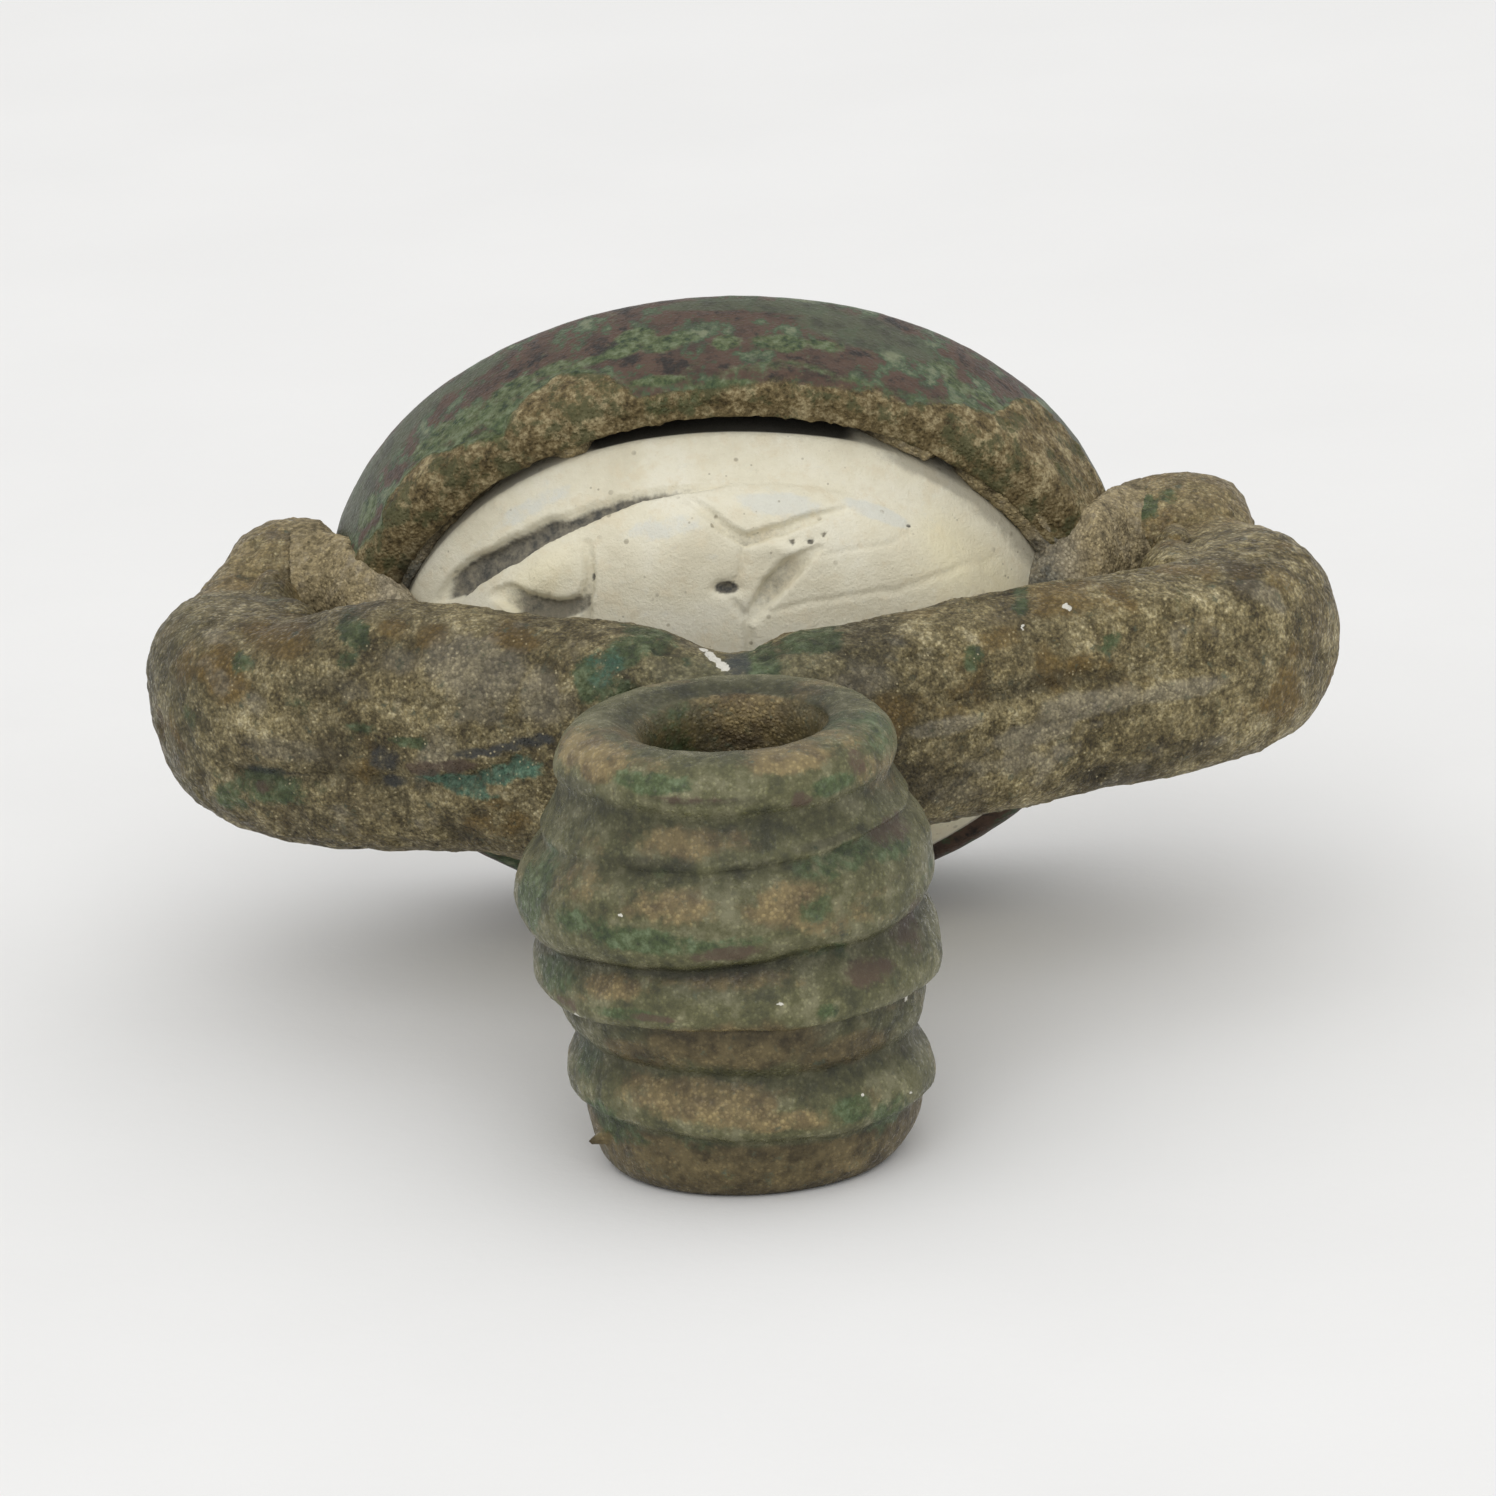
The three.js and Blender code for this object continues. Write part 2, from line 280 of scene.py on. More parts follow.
def stained(points: Array, stains: Sequence[Stain], grain: Grain) -> Array:
    """Paints ragged patches.

    Args:
        points: Places in millimetres.
        stains: Patches, in the same frame as the points.
        grain: Noise that frays the edges.

    Returns:
        Cover from 0 to 1 at each place.
    """
    cover = np.zeros(len(points))
    fray = 0.35 * grain.layered(points, 0.9, 4)
    for stain in stains:
        away = np.linalg.norm((points - np.array(stain.at)) / np.array(stain.reach), axis=1)
        cover = np.maximum(cover, stain.share * (1.0 - ease(away + fray, 0.55, 1.15)))
    return cover


Marks = dict[Tone, tuple[tuple[float, float, float, float, float], ...]]


def painted(places: Array, points: Array, marks: Marks, grain: Grain) -> dict[str, Array]:
    """Paints every kind of patch on an unrolled surface.

    Args:
        places: Two columns, the place along and the level.
        points: The same places in space, for the ragged edges.
        marks: Place along, level, reach along, reach in level and strength, by tone.
        grain: Noise that frays the edges.

    Returns:
        Cover from 0 to 1 by the tone's name.
    """
    fray = 0.34 * grain.layered(points + 5.0, 0.8, 4) + 0.14 * grain.layered(points + 45.0, 0.22, 2)
    covers = {}
    for tone in Tone:
        cover = np.zeros(len(points))
        for along, level, reach, rise, share in marks.get(tone, ()):
            away = np.hypot((places[:, 0] - along) / reach, (places[:, 1] - level) / rise)
            cover = np.maximum(cover, share * (1.0 - ease(away + fray, 0.45, 1.3)))
        covers[tone.value] = cover
    return covers


# --- frame and meshes -------------------------------------------------------


@dataclass(frozen=True)
class Datum:
    """Place of the swivel axis, and the turn that the seal lies at."""

    pivot: Point
    turn: float = math.radians(-73.0)
    axis_y: float = AXIS_Y

    @classmethod
    def read(cls) -> "Datum":
        """Returns the datum of the loaded frame, from the middle of the collar."""
        low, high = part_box("collar")
        return cls(tuple((low + high) / 2.0))

    def from_hoop(self, points: Array) -> Array:
        """Returns places in metres from hoop places in millimetres."""
        return (points - np.array([0.0, self.axis_y, 0.0])) * MM + np.array(self.pivot)

    def from_seal(self, points: Array) -> Array:
        """Returns places in metres from seal places in millimetres."""
        cos, sin = math.cos(self.turn), math.sin(self.turn)
        x, q, n = points.T
        return np.stack([x, q * cos - n * sin, q * sin + n * cos], axis=1) * MM + np.array(self.pivot)


@dataclass
class Skin:
    """Points and faces of one closed skin."""

    points: Array
    faces: list[tuple[int, ...]]

    @classmethod
    def from_loops(cls, loops: Array, rows_close: bool = False) -> "Skin":
        """Skins closed loops of points.

        Args:
            loops: Array of rows, points in a row, and coordinates.
            rows_close: True where the last row joins the first.

        Returns:
            The closed skin, with capped ends where the rows stay open.
        """
        rows, columns, _ = loops.shape
        points = loops.reshape(-1, 3)
        faces: list[tuple[int, ...]] = []
        for i in range(rows if rows_close else rows - 1):
            here, there = i * columns, (i + 1) % rows * columns
            for j in range(columns):
                k = (j + 1) % columns
                faces.append((here + j, here + k, there + k, there + j))
        if not rows_close:
            hubs = np.array([loops[0].mean(axis=0), loops[-1].mean(axis=0)])
            first = len(points)
            points = np.vstack([points, hubs])
            last = (rows - 1) * columns
            for j in range(columns):
                k = (j + 1) % columns
                faces.append((first, k, j))
                faces.append((first + 1, last + j, last + k))
        return cls(points, faces)

    def object(self, name: str) -> bpy.types.Object:
        """Makes a loose mesh object with its faces turned outward.

        Args:
            name: Name of the object.

        Returns:
            The object, linked to the scene.
        """
        mesh = bpy.data.meshes.new(name)
        mesh.from_pydata(self.points.tolist(), [], self.faces)
        work = bmesh.new()
        work.from_mesh(mesh)
        bmesh.ops.recalc_face_normals(work, faces=work.faces)
        work.to_mesh(mesh)
        work.free()
        return placed(name, mesh)

    @classmethod
    def joined(cls, skins: Sequence["Skin"]) -> "Skin":
        """Returns several skins as one."""
        points, faces, start = [], [], 0
        for skin in skins:
            points.append(skin.points)
            faces.extend(tuple(i + start for i in face) for face in skin.faces)
            start += len(skin.points)
        return cls(np.vstack(points), faces)


@dataclass
class Cast:
    """A fine even mesh, with the places and directions of its points."""

    mesh: bpy.types.Mesh
    points: Array
    normals: Array

    @classmethod
    def fused(cls, skin: Skin, voxel: float, cutter: Skin | None = None, smooth: int = 6) -> "Cast":
        """Melts overlapping skins into one fine even mesh.

        Args:
            skin: Closed skins that may run through each other.
            voxel: Spacing of the new points in millimetres.
            cutter: Closed skins to take away first.
            smooth: Number of smoothing passes.

        Returns:
            The fused cast.
        """
        rough = skin.object("rough_cast")
        spare = [rough]
        if cutter is not None:
            tool = cutter.object("cast_cutter")
            spare.append(tool)
            cut = rough.modifiers.new("cut", "BOOLEAN")
            cut.operation, cut.solver, cut.object = "DIFFERENCE", "EXACT", tool
        melt = rough.modifiers.new("melt", "REMESH")
        melt.mode, melt.voxel_size, melt.adaptivity = "VOXEL", voxel, 0.0
        soften = rough.modifiers.new("soften", "SMOOTH")
        soften.factor, soften.iterations = 0.5, smooth
        graph = bpy.context.evaluated_depsgraph_get()
        mesh = bpy.data.meshes.new_from_object(rough.evaluated_get(graph))
        for item in spare:
            old = item.data
            bpy.data.objects.remove(item)
            bpy.data.meshes.remove(old)
        return cls.measured(mesh)

    @classmethod
    def plain(cls, skin: Skin) -> "Cast":
        """Returns the cast over a skin as it stands."""
        made = skin.object("plain_cast")
        mesh = made.data
        bpy.data.objects.remove(made)
        return cls.measured(mesh)

    @classmethod
    def measured(cls, mesh: bpy.types.Mesh) -> "Cast":
        """Reads the points and directions of a mesh.

        Args:
            mesh: Mesh in millimetres.

        Returns:
            The cast over that mesh.
        """
        count = len(mesh.vertices)
        points, normals = np.empty(count * 3), np.empty(count * 3)
        mesh.vertices.foreach_get("co", points)
        mesh.vertices.foreach_get("normal", normals)
        return cls(mesh, points.reshape(-1, 3), normals.reshape(-1, 3))

    def pushed(self, height: Array) -> Array:
        """Returns the points moved along their directions by a height in millimetres."""
        return self.points + self.normals * height[:, None]

    def piece(self, name: str, places: Array, masks: dict[str, Array]) -> bpy.types.Object:
        """Turns the cast into a piece of the scene.

        Args:
            name: Name of the piece.
            places: Final places of its points in metres.
            masks: Covers that the finish reads, by name.

        Returns:
            The piece, linked to the scene.
        """
        self.mesh.name = name
        self.mesh.vertices.foreach_set("co", places.astype(np.float32).ravel())
        for label, cover in masks.items():
            layer = self.mesh.attributes.new(label, "FLOAT", "POINT")
            layer.data.foreach_set("value", np.clip(cover, 0.0, 1.0).astype(np.float32))
        self.mesh.update()
        self.mesh.shade_smooth()
        return placed(name, self.mesh)


def dress(
        piece: bpy.types.Object, finish: "Finish", body: Body, stands_for: str = "") -> None:
    """Gives a piece its finish and its place in the frame.

    Args:
        piece: The piece, already in place.
        finish: Its finish.
        body: Body that it rides on.
        stands_for: Solid that it replaces, if any.
    """
    piece.data.materials.clear()
    piece.data.materials.append(finish.material())
    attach(piece, body.value)
    if stands_for:
        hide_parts(stands_for)
    LOG.info("%s: %d faces, rides on %s", piece.name, len(piece.data.polygons), body.value)


# --- finishes ---------------------------------------------------------------


class Sheet:
    """Node tree of one material, with short calls for the nodes that it uses."""

    def __init__(self, name: str) -> None:
        """Starts an empty tree.

        Args:
            name: Name of the material.
        """
        self.made = bpy.data.materials.new(name)
        self.made.use_nodes = True
        self.tree = self.made.node_tree
        self.tree.nodes.clear()
        place = self.tree.nodes.new("ShaderNodeTexCoord")
        scale = self.tree.nodes.new("ShaderNodeVectorMath")
        scale.operation = "SCALE"
        scale.inputs["Scale"].default_value = 1.0 / MM
        self.tree.links.new(place.outputs["Object"], scale.inputs[0])
        self.place: Socket = scale.outputs[0]

    def feed(self, socket: Socket, value: Socket | float | Colour) -> None:
        """Links or sets one input."""
        if isinstance(value, bpy.types.NodeSocket):
            self.tree.links.new(value, socket)
        else:
            socket.default_value = (*value, 1.0) if isinstance(value, tuple) else value

    def noise(
            self, size: float, detail: float = 4.0, rough: float = 0.55, shift: float = 0.0) -> Socket:
        """Adds noise.

        Args:
            size: Width of one swell in millimetres.
            detail: Number of finer layers.
            rough: Strength of the finer layers.
            shift: Sideways move, so that two noises differ.

        Returns:
            Value socket, about 0.5 on average.
        """
        node = self.tree.nodes.new("ShaderNodeTexNoise")
        node.inputs["Scale"].default_value = 1.0 / size
        node.inputs["Detail"].default_value = detail
        node.inputs["Roughness"].default_value = rough
        move = self.tree.nodes.new("ShaderNodeVectorMath")
        move.inputs[1].default_value = (shift, shift * 0.7, -shift)
        self.tree.links.new(self.place, move.inputs[0])
        self.tree.links.new(move.outputs[0], node.inputs["Vector"])
        return node.outputs["Fac"]

    def cells(self, size: float, output: str = "Distance") -> Socket:
        """Adds scattered grains of one spacing in millimetres; returns the named output."""
        node = self.tree.nodes.new("ShaderNodeTexVoronoi")
        node.inputs["Scale"].default_value = 1.0 / size
        self.tree.links.new(self.place, node.inputs["Vector"])
        return node.outputs[output]

    def red_of(self, colour: Socket) -> Socket:
        """Returns the red share of a colour, as a plain number."""
        node = self.tree.nodes.new("ShaderNodeSeparateColor")
        self.feed(node.inputs[0], colour)
        return node.outputs[0]

    def mask(self, name: str) -> Socket:
        """Returns one of the covers stored on the mesh."""
        node = self.tree.nodes.new("ShaderNodeAttribute")
        node.attribute_name = name
        return node.outputs["Fac"]

    def sum(self, kind: str, a: Socket | float, b: Socket | float) -> Socket:
        """Returns one arithmetic step of the named kind."""
        node = self.tree.nodes.new("ShaderNodeMath")
        node.operation = kind
        self.feed(node.inputs[0], a)
        self.feed(node.inputs[1], b)
        return node.outputs[0]

    def blend(self, *parts: tuple[Socket, float]) -> Socket:
        """Returns the sum of several values, each times its share."""
        total = self.sum("MULTIPLY", *parts[0])
        for value, share in parts[1:]:
            total = self.sum("ADD", total, self.sum("MULTIPLY", value, share))
        return total

    def span(
            self, value: Socket, low: float, high: float, bottom: float = 0.0, top: float = 1.0) -> Socket:
        """Returns a smooth step from bottom at low to top at high."""
        node = self.tree.nodes.new("ShaderNodeMapRange")
        node.interpolation_type = "SMOOTHSTEP"
        for socket, number in zip(("From Min", "From Max", "To Min", "To Max"), (low, high, bottom, top)):
            node.inputs[socket].default_value = number
        self.feed(node.inputs["Value"], value)
        return node.outputs["Result"]

    def frayed(self, cover: Socket, noise: Socket, amount: float, edge: float = 0.12) -> Socket:
        """Breaks the edge of a cover with noise.

        Args:
            cover: Cover from 0 to 1.
            noise: Noise of about 0.5.
            amount: How far the noise moves the edge.
            edge: Half width of the step.

        Returns:
            The frayed cover.
        """
        moved = self.sum("MULTIPLY_ADD", noise, amount)
        moved.node.inputs[2].default_value = -0.5 * amount
        return self.span(self.sum("ADD", cover, moved), 0.5 - edge, 0.5 + edge)

    def ramp(self, value: Socket, stops: Sequence[tuple[float, Colour]]) -> Socket:
        """Returns a colour read from stops along 0 to 1."""
        node = self.tree.nodes.new("ShaderNodeValToRGB")
        line = node.color_ramp
        while len(line.elements) < len(stops):
            line.elements.new(0.5)
        for element, (at, colour) in zip(line.elements, stops):
            element.position, element.color = at, (*colour, 1.0)
        self.feed(node.inputs["Fac"], value)
        return node.outputs["Color"]

    def mix(
            self, share: Socket | float, a: Socket | Colour, b: Socket | Colour, kind: str = "MIX") -> Socket:
        """Returns one colour laid over another by a share."""
        node = self.tree.nodes.new("ShaderNodeMix")
        node.data_type, node.blend_type = "RGBA", kind
        self.feed(node.inputs[0], share)
        self.feed(node.inputs[6], a)
        self.feed(node.inputs[7], b)
        return node.outputs[2]

    def patches(
            self, colour: Socket, noise: Socket,
            layers: Sequence[tuple[str, float, float, float, Socket | Colour]]) -> Socket:
        """Lays ragged patches over a colour, one after another.

        Args:
            colour: Colour below.
            noise: Noise that frays their edges.
            layers: Stored cover, fray, half width of the edge, share and colour of each.

        Returns:
            The patched colour.
        """
        for name, fray, edge, share, top in layers:
            cover = self.frayed(self.mask(name), noise, fray, edge)
            colour = self.mix(self.sum("MULTIPLY", cover, share), colour, top)
        return colour

    def shaded(self, colour: Socket, name: str, low: float, high: float, bottom: float, top: float) -> Socket:
        """Returns a colour times a stored cover, spread from bottom at low to top at high."""
        return self.mix(1.0, colour, self.span(self.mask(name), low, high, bottom, top), "MULTIPLY")

    def speckle(self, tone: Socket, grit: Socket, dark: float, light: float) -> Socket:
        """Returns the shade of single grains, dark to light, with dark seams between them."""
        shade = self.span(tone, 0.0, 1.0, dark, light)
        return self.sum("MULTIPLY", shade, self.span(grit, 0.28, 0.62, 1.04, dark))

    def gritty(self, fine: Socket, fine_share: float, grit: Socket, grit_share: float) -> Socket:
        """Returns the relief of fine noise with domed grains on it."""
        return self.blend((fine, fine_share), (self.span(grit, 0.1, 0.6, 1.0, 0.0), grit_share))

    def close(
            self, colour: Socket, rough: Socket, relief: Socket, depth: float,
            specular: float) -> bpy.types.Material:
        """Ends the tree in a shader.

        Args:
            colour: Base colour.
            rough: Roughness.
            relief: Height of the finest relief, 0 to 1.
            depth: Its depth in millimetres.
            specular: Strength of the gloss.

        Returns:
            The finished material.
        """
        shader = self.tree.nodes.new("ShaderNodeBsdfPrincipled")
        shader.inputs["Metallic"].default_value = 0.0
        shader.inputs["Specular IOR Level"].default_value = specular
        bump = self.tree.nodes.new("ShaderNodeBump")
        bump.inputs["Distance"].default_value = depth * MM
        bump.inputs["Strength"].default_value = 1.0
        self.feed(bump.inputs["Height"], relief)
        self.feed(shader.inputs["Base Color"], colour)
        self.feed(shader.inputs["Roughness"], rough)
        self.feed(shader.inputs["Normal"], bump.outputs["Normal"])
        out = self.tree.nodes.new("ShaderNodeOutputMaterial")
        self.feed(out.inputs["Surface"], shader.outputs["BSDF"])
        return self.made


class Finish:
    """A procedural finish."""

    def material(self) -> bpy.types.Material:
        """Returns the material of this finish."""
        raise NotImplementedError


@dataclass(frozen=True)
class CrustedBronze(Finish):
    """Old cast bronze under sandy earth, with green corrosion and bare brown skin."""

    name: str = "crusted_bronze"
    earth_dark: Colour = (0.040, 0.029, 0.011)
    earth: Colour = (0.128, 0.100, 0.041)
    earth_light: Colour = (0.275, 0.226, 0.112)
    sand: Colour = (0.520, 0.455, 0.280)
    wash_dark: Colour = (0.048, 0.050, 0.025)
    wash: Colour = (0.096, 0.095, 0.042)
    wash_pale: Colour = (0.188, 0.180, 0.104)
    tan: Colour = (0.240, 0.182, 0.084)
    tan_dark: Colour = (0.115, 0.084, 0.042)
    gold: Colour = (0.150, 0.098, 0.027)
    ash: Colour = (0.265, 0.240, 0.180)
    skin_dark: Colour = (0.056, 0.042, 0.018)
    skin: Colour = (0.160, 0.124, 0.056)
    green_dark: Colour = (0.020, 0.036, 0.016)
    green: Colour = (0.050, 0.077, 0.027)
    green_pale: Colour = (0.135, 0.182, 0.098)
    teal_dark: Colour = (0.022, 0.058, 0.040)
    teal: Colour = (0.050, 0.140, 0.094)
    teal_pale: Colour = (0.140, 0.270, 0.190)
    ink: Colour = (0.038, 0.042, 0.044)
    rust: Colour = (0.082, 0.052, 0.036)
    chalk: Colour = (0.640, 0.620, 0.550)

    def material(self) -> bpy.types.Material:
        """Returns the material of this finish."""
        s = Sheet(self.name)
        fine = s.noise(0.075, 4.0, 0.66)
        middle = s.noise(0.42, 5.0, 0.64, 3.0)
        broad = s.noise(1.9, 3.0, 0.5, 9.0)
        grit = s.cells(0.085)
        grain_tone = s.red_of(s.cells(0.085, "Color"))
        calm = s.mask("calm")
        loose = s.span(calm, 0.0, 1.0, 1.0, 0.0)
        earth = s.ramp(s.blend((fine, 0.36), (middle, 0.44), (broad, 0.20)), (
            (0.38, self.earth_dark), (0.47, self.earth), (0.55, self.earth_light), (0.65, self.sand)))
        wash = s.ramp(s.noise(0.7, 6.0, 0.70, 21.0), (
            (0.36, self.wash_dark), (0.49, self.wash), (0.64, self.wash_pale)))
        colour = s.mix(calm, earth, wash)
        skin = s.ramp(middle, ((0.36, self.skin_dark), (0.62, self.skin)))
        tan = s.ramp(s.noise(0.45, 4.0, 0.6, 17.0), ((0.36, self.tan_dark), (0.58, self.tan)))
        green = s.ramp(s.noise(0.24, 5.0, 0.66, 7.0), (
            (0.36, self.green_dark), (0.50, self.green), (0.68, self.green_pale)))
        teal = s.ramp(s.noise(0.16, 5.0, 0.7, 27.0), (
            (0.36, self.teal_dark), (0.50, self.teal), (0.66, self.teal_pale)))
        rag = s.noise(0.34, 7.0, 0.72, 11.0)
        colour = s.mix(s.frayed(s.mask("bare"), middle, 0.7, 0.35), colour, skin)
        colour = s.patches(colour, rag, (
            ("gold", 1.0, 0.40, 1.0, self.gold), ("ash", 1.3, 0.36, 0.50, self.ash),
            ("tan", 2.6, 0.40, 0.9, tan)))
        grains = s.sum("MAXIMUM", s.speckle(grain_tone, grit, 0.74, 1.30), s.sum("MULTIPLY", calm, 0.95))
        colour = s.mix(1.0, colour, grains, "MULTIPLY")
        colour = s.patches(colour, rag, (
            ("green", 2.6, 0.34, 0.85, green), ("teal", 2.4, 0.35, 0.8, teal),
            ("rust", 2.6, 0.36, 0.8, self.rust), ("ink", 1.3, 0.40, 0.85, self.ink)))
        # painted shade and dark patches: the dark cover halves the colour, in creases and the bore as well as
        # on dark patches
        colour = s.shaded(colour, "dark", 0.1, 0.9, 1.0, 0.50)
        # painted light and shade: the rise cover lightens raised crust and darkens pits, grooves and creases
        colour = s.shaded(colour, "rise", 0.1, 0.8, 0.50, 1.18)
        shine = s.sum("MULTIPLY", s.span(grain_tone, 0.80, 0.93), s.span(grit, 0.16, 0.36, 0.72, 0.0))
        shine = s.sum("MULTIPLY", shine, s.span(s.noise(0.9, 3.0, 0.6, 33.0), 0.40, 0.62))
        colour = s.mix(s.sum("MULTIPLY", shine, loose), colour, self.sand)
        chalk = s.frayed(s.mask("chalk"), s.noise(0.09, 3.0, 0.6, 5.0), 0.8, 0.1)
        colour = s.mix(chalk, colour, self.chalk)
        rough = s.sum("SUBTRACT", s.span(grain_tone, 0.5, 0.95, 0.62, 0.34), s.sum("MULTIPLY", calm, 0.10))
        relief = s.sum("MULTIPLY", s.gritty(fine, 0.8, grit, 0.45), s.span(calm, 0.0, 1.0, 1.0, 0.32))
        return s.close(colour, rough, relief, 0.055, 0.34)


@dataclass(frozen=True)
class CollarBronze(Finish):
    """Smooth purple-brown bronze skin, green in patches and sandy along its lip."""

    name: str = "collar_bronze"
    skin_dark: Colour = (0.026, 0.022, 0.019)
    skin: Colour = (0.090, 0.056, 0.040)
    skin_grey: Colour = (0.078, 0.092, 0.056)
    skin_green: Colour = (0.060, 0.094, 0.050)
    skin_pale: Colour = (0.185, 0.205, 0.125)
    green_dark: Colour = (0.018, 0.038, 0.016)
    green: Colour = (0.082, 0.110, 0.044)
    green_pale: Colour = (0.165, 0.202, 0.115)
    earth_dark: Colour = (0.052, 0.038, 0.016)
    earth: Colour = (0.175, 0.132, 0.062)
    earth_light: Colour = (0.380, 0.315, 0.180)
    olive: Colour = (0.078, 0.080, 0.036)

    def material(self) -> bpy.types.Material:
        """Returns the material of this finish."""
        s = Sheet(self.name)
        fine = s.noise(0.11, 5.0, 0.65)
        middle = s.noise(0.55, 5.0, 0.62, 3.0)
        grit = s.cells(0.10)
        skin = s.ramp(s.noise(0.8, 6.0, 0.68, 5.0), (
            (0.37, self.skin_dark), (0.45, self.skin), (0.51, self.skin), (0.57, self.skin_green),
            (0.67, self.skin_pale)))
        grey = s.frayed(s.mask("grey"), middle, 0.9, 0.4)
        skin = s.mix(s.sum("MULTIPLY", grey, 0.85), skin, self.skin_grey)
        skin = s.mix(s.span(middle, 0.46, 0.66, 0.0, 0.5), skin, self.skin_dark)
        green = s.ramp(s.noise(0.22, 5.0, 0.65, 7.0), (
            (0.36, self.green_dark), (0.50, self.green), (0.66, self.green_pale)))
        earth = s.ramp(s.blend((fine, 0.5), (middle, 0.5)), (
            (0.38, self.earth_dark), (0.49, self.earth), (0.60, self.earth_light)))
        earth = s.mix(s.span(s.noise(0.7, 6.0, 0.7, 19.0), 0.49, 0.60, 0.0, 0.85), earth, self.olive)
        patina = s.frayed(s.mask("patina"), s.noise(0.4, 6.0, 0.75, 11.0), 2.6, 0.40)
        crust = s.frayed(s.mask("crust"), s.noise(0.34, 6.0, 0.72, 15.0), 1.3, 0.22)
        colour = s.mix(s.sum("MULTIPLY", patina, 0.9), skin, green)
        colour = s.mix(crust, colour, earth)
        fringe = s.frayed(s.mask("fringe"), s.noise(0.2, 6.0, 0.7, 29.0), 1.3, 0.30)
        colour = s.mix(s.sum("MULTIPLY", fringe, 0.85), colour, green)
        # painted light and shade: the rise cover lightens raised skin and crust and darkens the dips
        colour = s.shaded(colour, "rise", 0.1, 0.8, 0.5, 1.14)
        colour = s.shaded(colour, "shade", 0.0, 1.0, 1.0, 0.12)
        rough = s.sum("ADD", s.span(fine, 0.3, 0.7, 0.34, 0.52), s.sum("MULTIPLY", crust, 0.25))
        relief = s.sum("MULTIPLY", s.gritty(fine, 0.8, grit, 0.5), s.span(crust, 0.0, 1.0, 0.30, 1.0))
        return s.close(colour, rough, relief, 0.06, 0.2)


@dataclass(frozen=True)
class PaleStone(Finish):
    """Cream glazed stone, worn, with grey earth in its carved lines."""

    name: str = "pale_stone"
    cream: Colour = (0.752, 0.708, 0.553)
    cream_light: Colour = (0.790, 0.755, 0.620)
    cream_dull: Colour = (0.665, 0.615, 0.465)
    cream_warm: Colour = (0.700, 0.620, 0.450)
    yellow: Colour = (0.785, 0.712, 0.470)
    glaze: Colour = (0.650, 0.670, 0.630)
    soil: Colour = (0.078, 0.077, 0.070)
    soil_pale: Colour = (0.262, 0.238, 0.180)
    speck: Colour = (0.300, 0.265, 0.185)

    def material(self) -> bpy.types.Material:
        """Returns the material of this finish."""
        s = Sheet(self.name)
        broad = s.noise(1.6, 5.0, 0.6)
        fine = s.noise(0.14, 5.0, 0.65, 4.0)
        body = s.ramp(broad, ((0.32, self.cream_dull), (0.50, self.cream), (0.66, self.cream_light)))
        body = s.mix(s.span(fine, 0.5, 0.8, 0.0, 0.5), body, self.cream_dull)
        body = s.mix(s.span(s.noise(0.45, 5.0, 0.7, 14.0), 0.48, 0.66, 0.0, 0.55), body, self.cream_warm)
        tint = s.sum("MULTIPLY", s.mask("tint"), s.span(broad, 0.3, 0.65, 0.45, 1.0))
        body = s.mix(tint, body, self.yellow)
        body = s.patches(body, s.noise(0.35, 6.0, 0.72, 9.0), (("glaze", 2.2, 0.4, 0.6, self.glaze),))
        dots = s.span(s.cells(0.42), 0.10, 0.17, 0.75, 0.0)
        dots = s.sum("MULTIPLY", dots, s.span(s.noise(1.2, 2.0, 0.5, 8.0), 0.5, 0.62))
        body = s.mix(dots, body, self.speck)
        flecks = s.span(s.cells(0.21), 0.09, 0.16, 0.6, 0.0)
        flecks = s.sum("MULTIPLY", flecks, s.span(s.noise(0.9, 3.0, 0.5, 18.0), 0.52, 0.64))
        body = s.mix(flecks, body, self.speck)
        packed = s.ramp(s.noise(0.2, 4.0, 0.65, 12.0), ((0.36, self.soil), (0.66, self.soil_pale)))
        soil = s.frayed(s.mask("soil"), s.noise(0.11, 4.0, 0.7, 2.0), 0.7, 0.4)
        colour = s.mix(soil, body, packed)
        colour = s.patches(colour, s.noise(0.3, 5.0, 0.7, 6.0), (("film", 1.0, 0.35, 0.65, self.soil_pale),))
        # painted shade: darkens the stone's side wall in the gap under the collar's lip
        colour = s.shaded(colour, "deep_shade", 0.2, 0.8, 1.0, 0.06)
        rough = s.sum("ADD", s.span(fine, 0.3, 0.7, 0.5, 0.66), s.sum("MULTIPLY", soil, 0.2))
        relief = s.sum("ADD", fine, s.sum("MULTIPLY", s.noise(0.05, 3.0, 0.6, 1.0), 0.5))
        return s.close(colour, rough, relief, 0.032, 0.4)


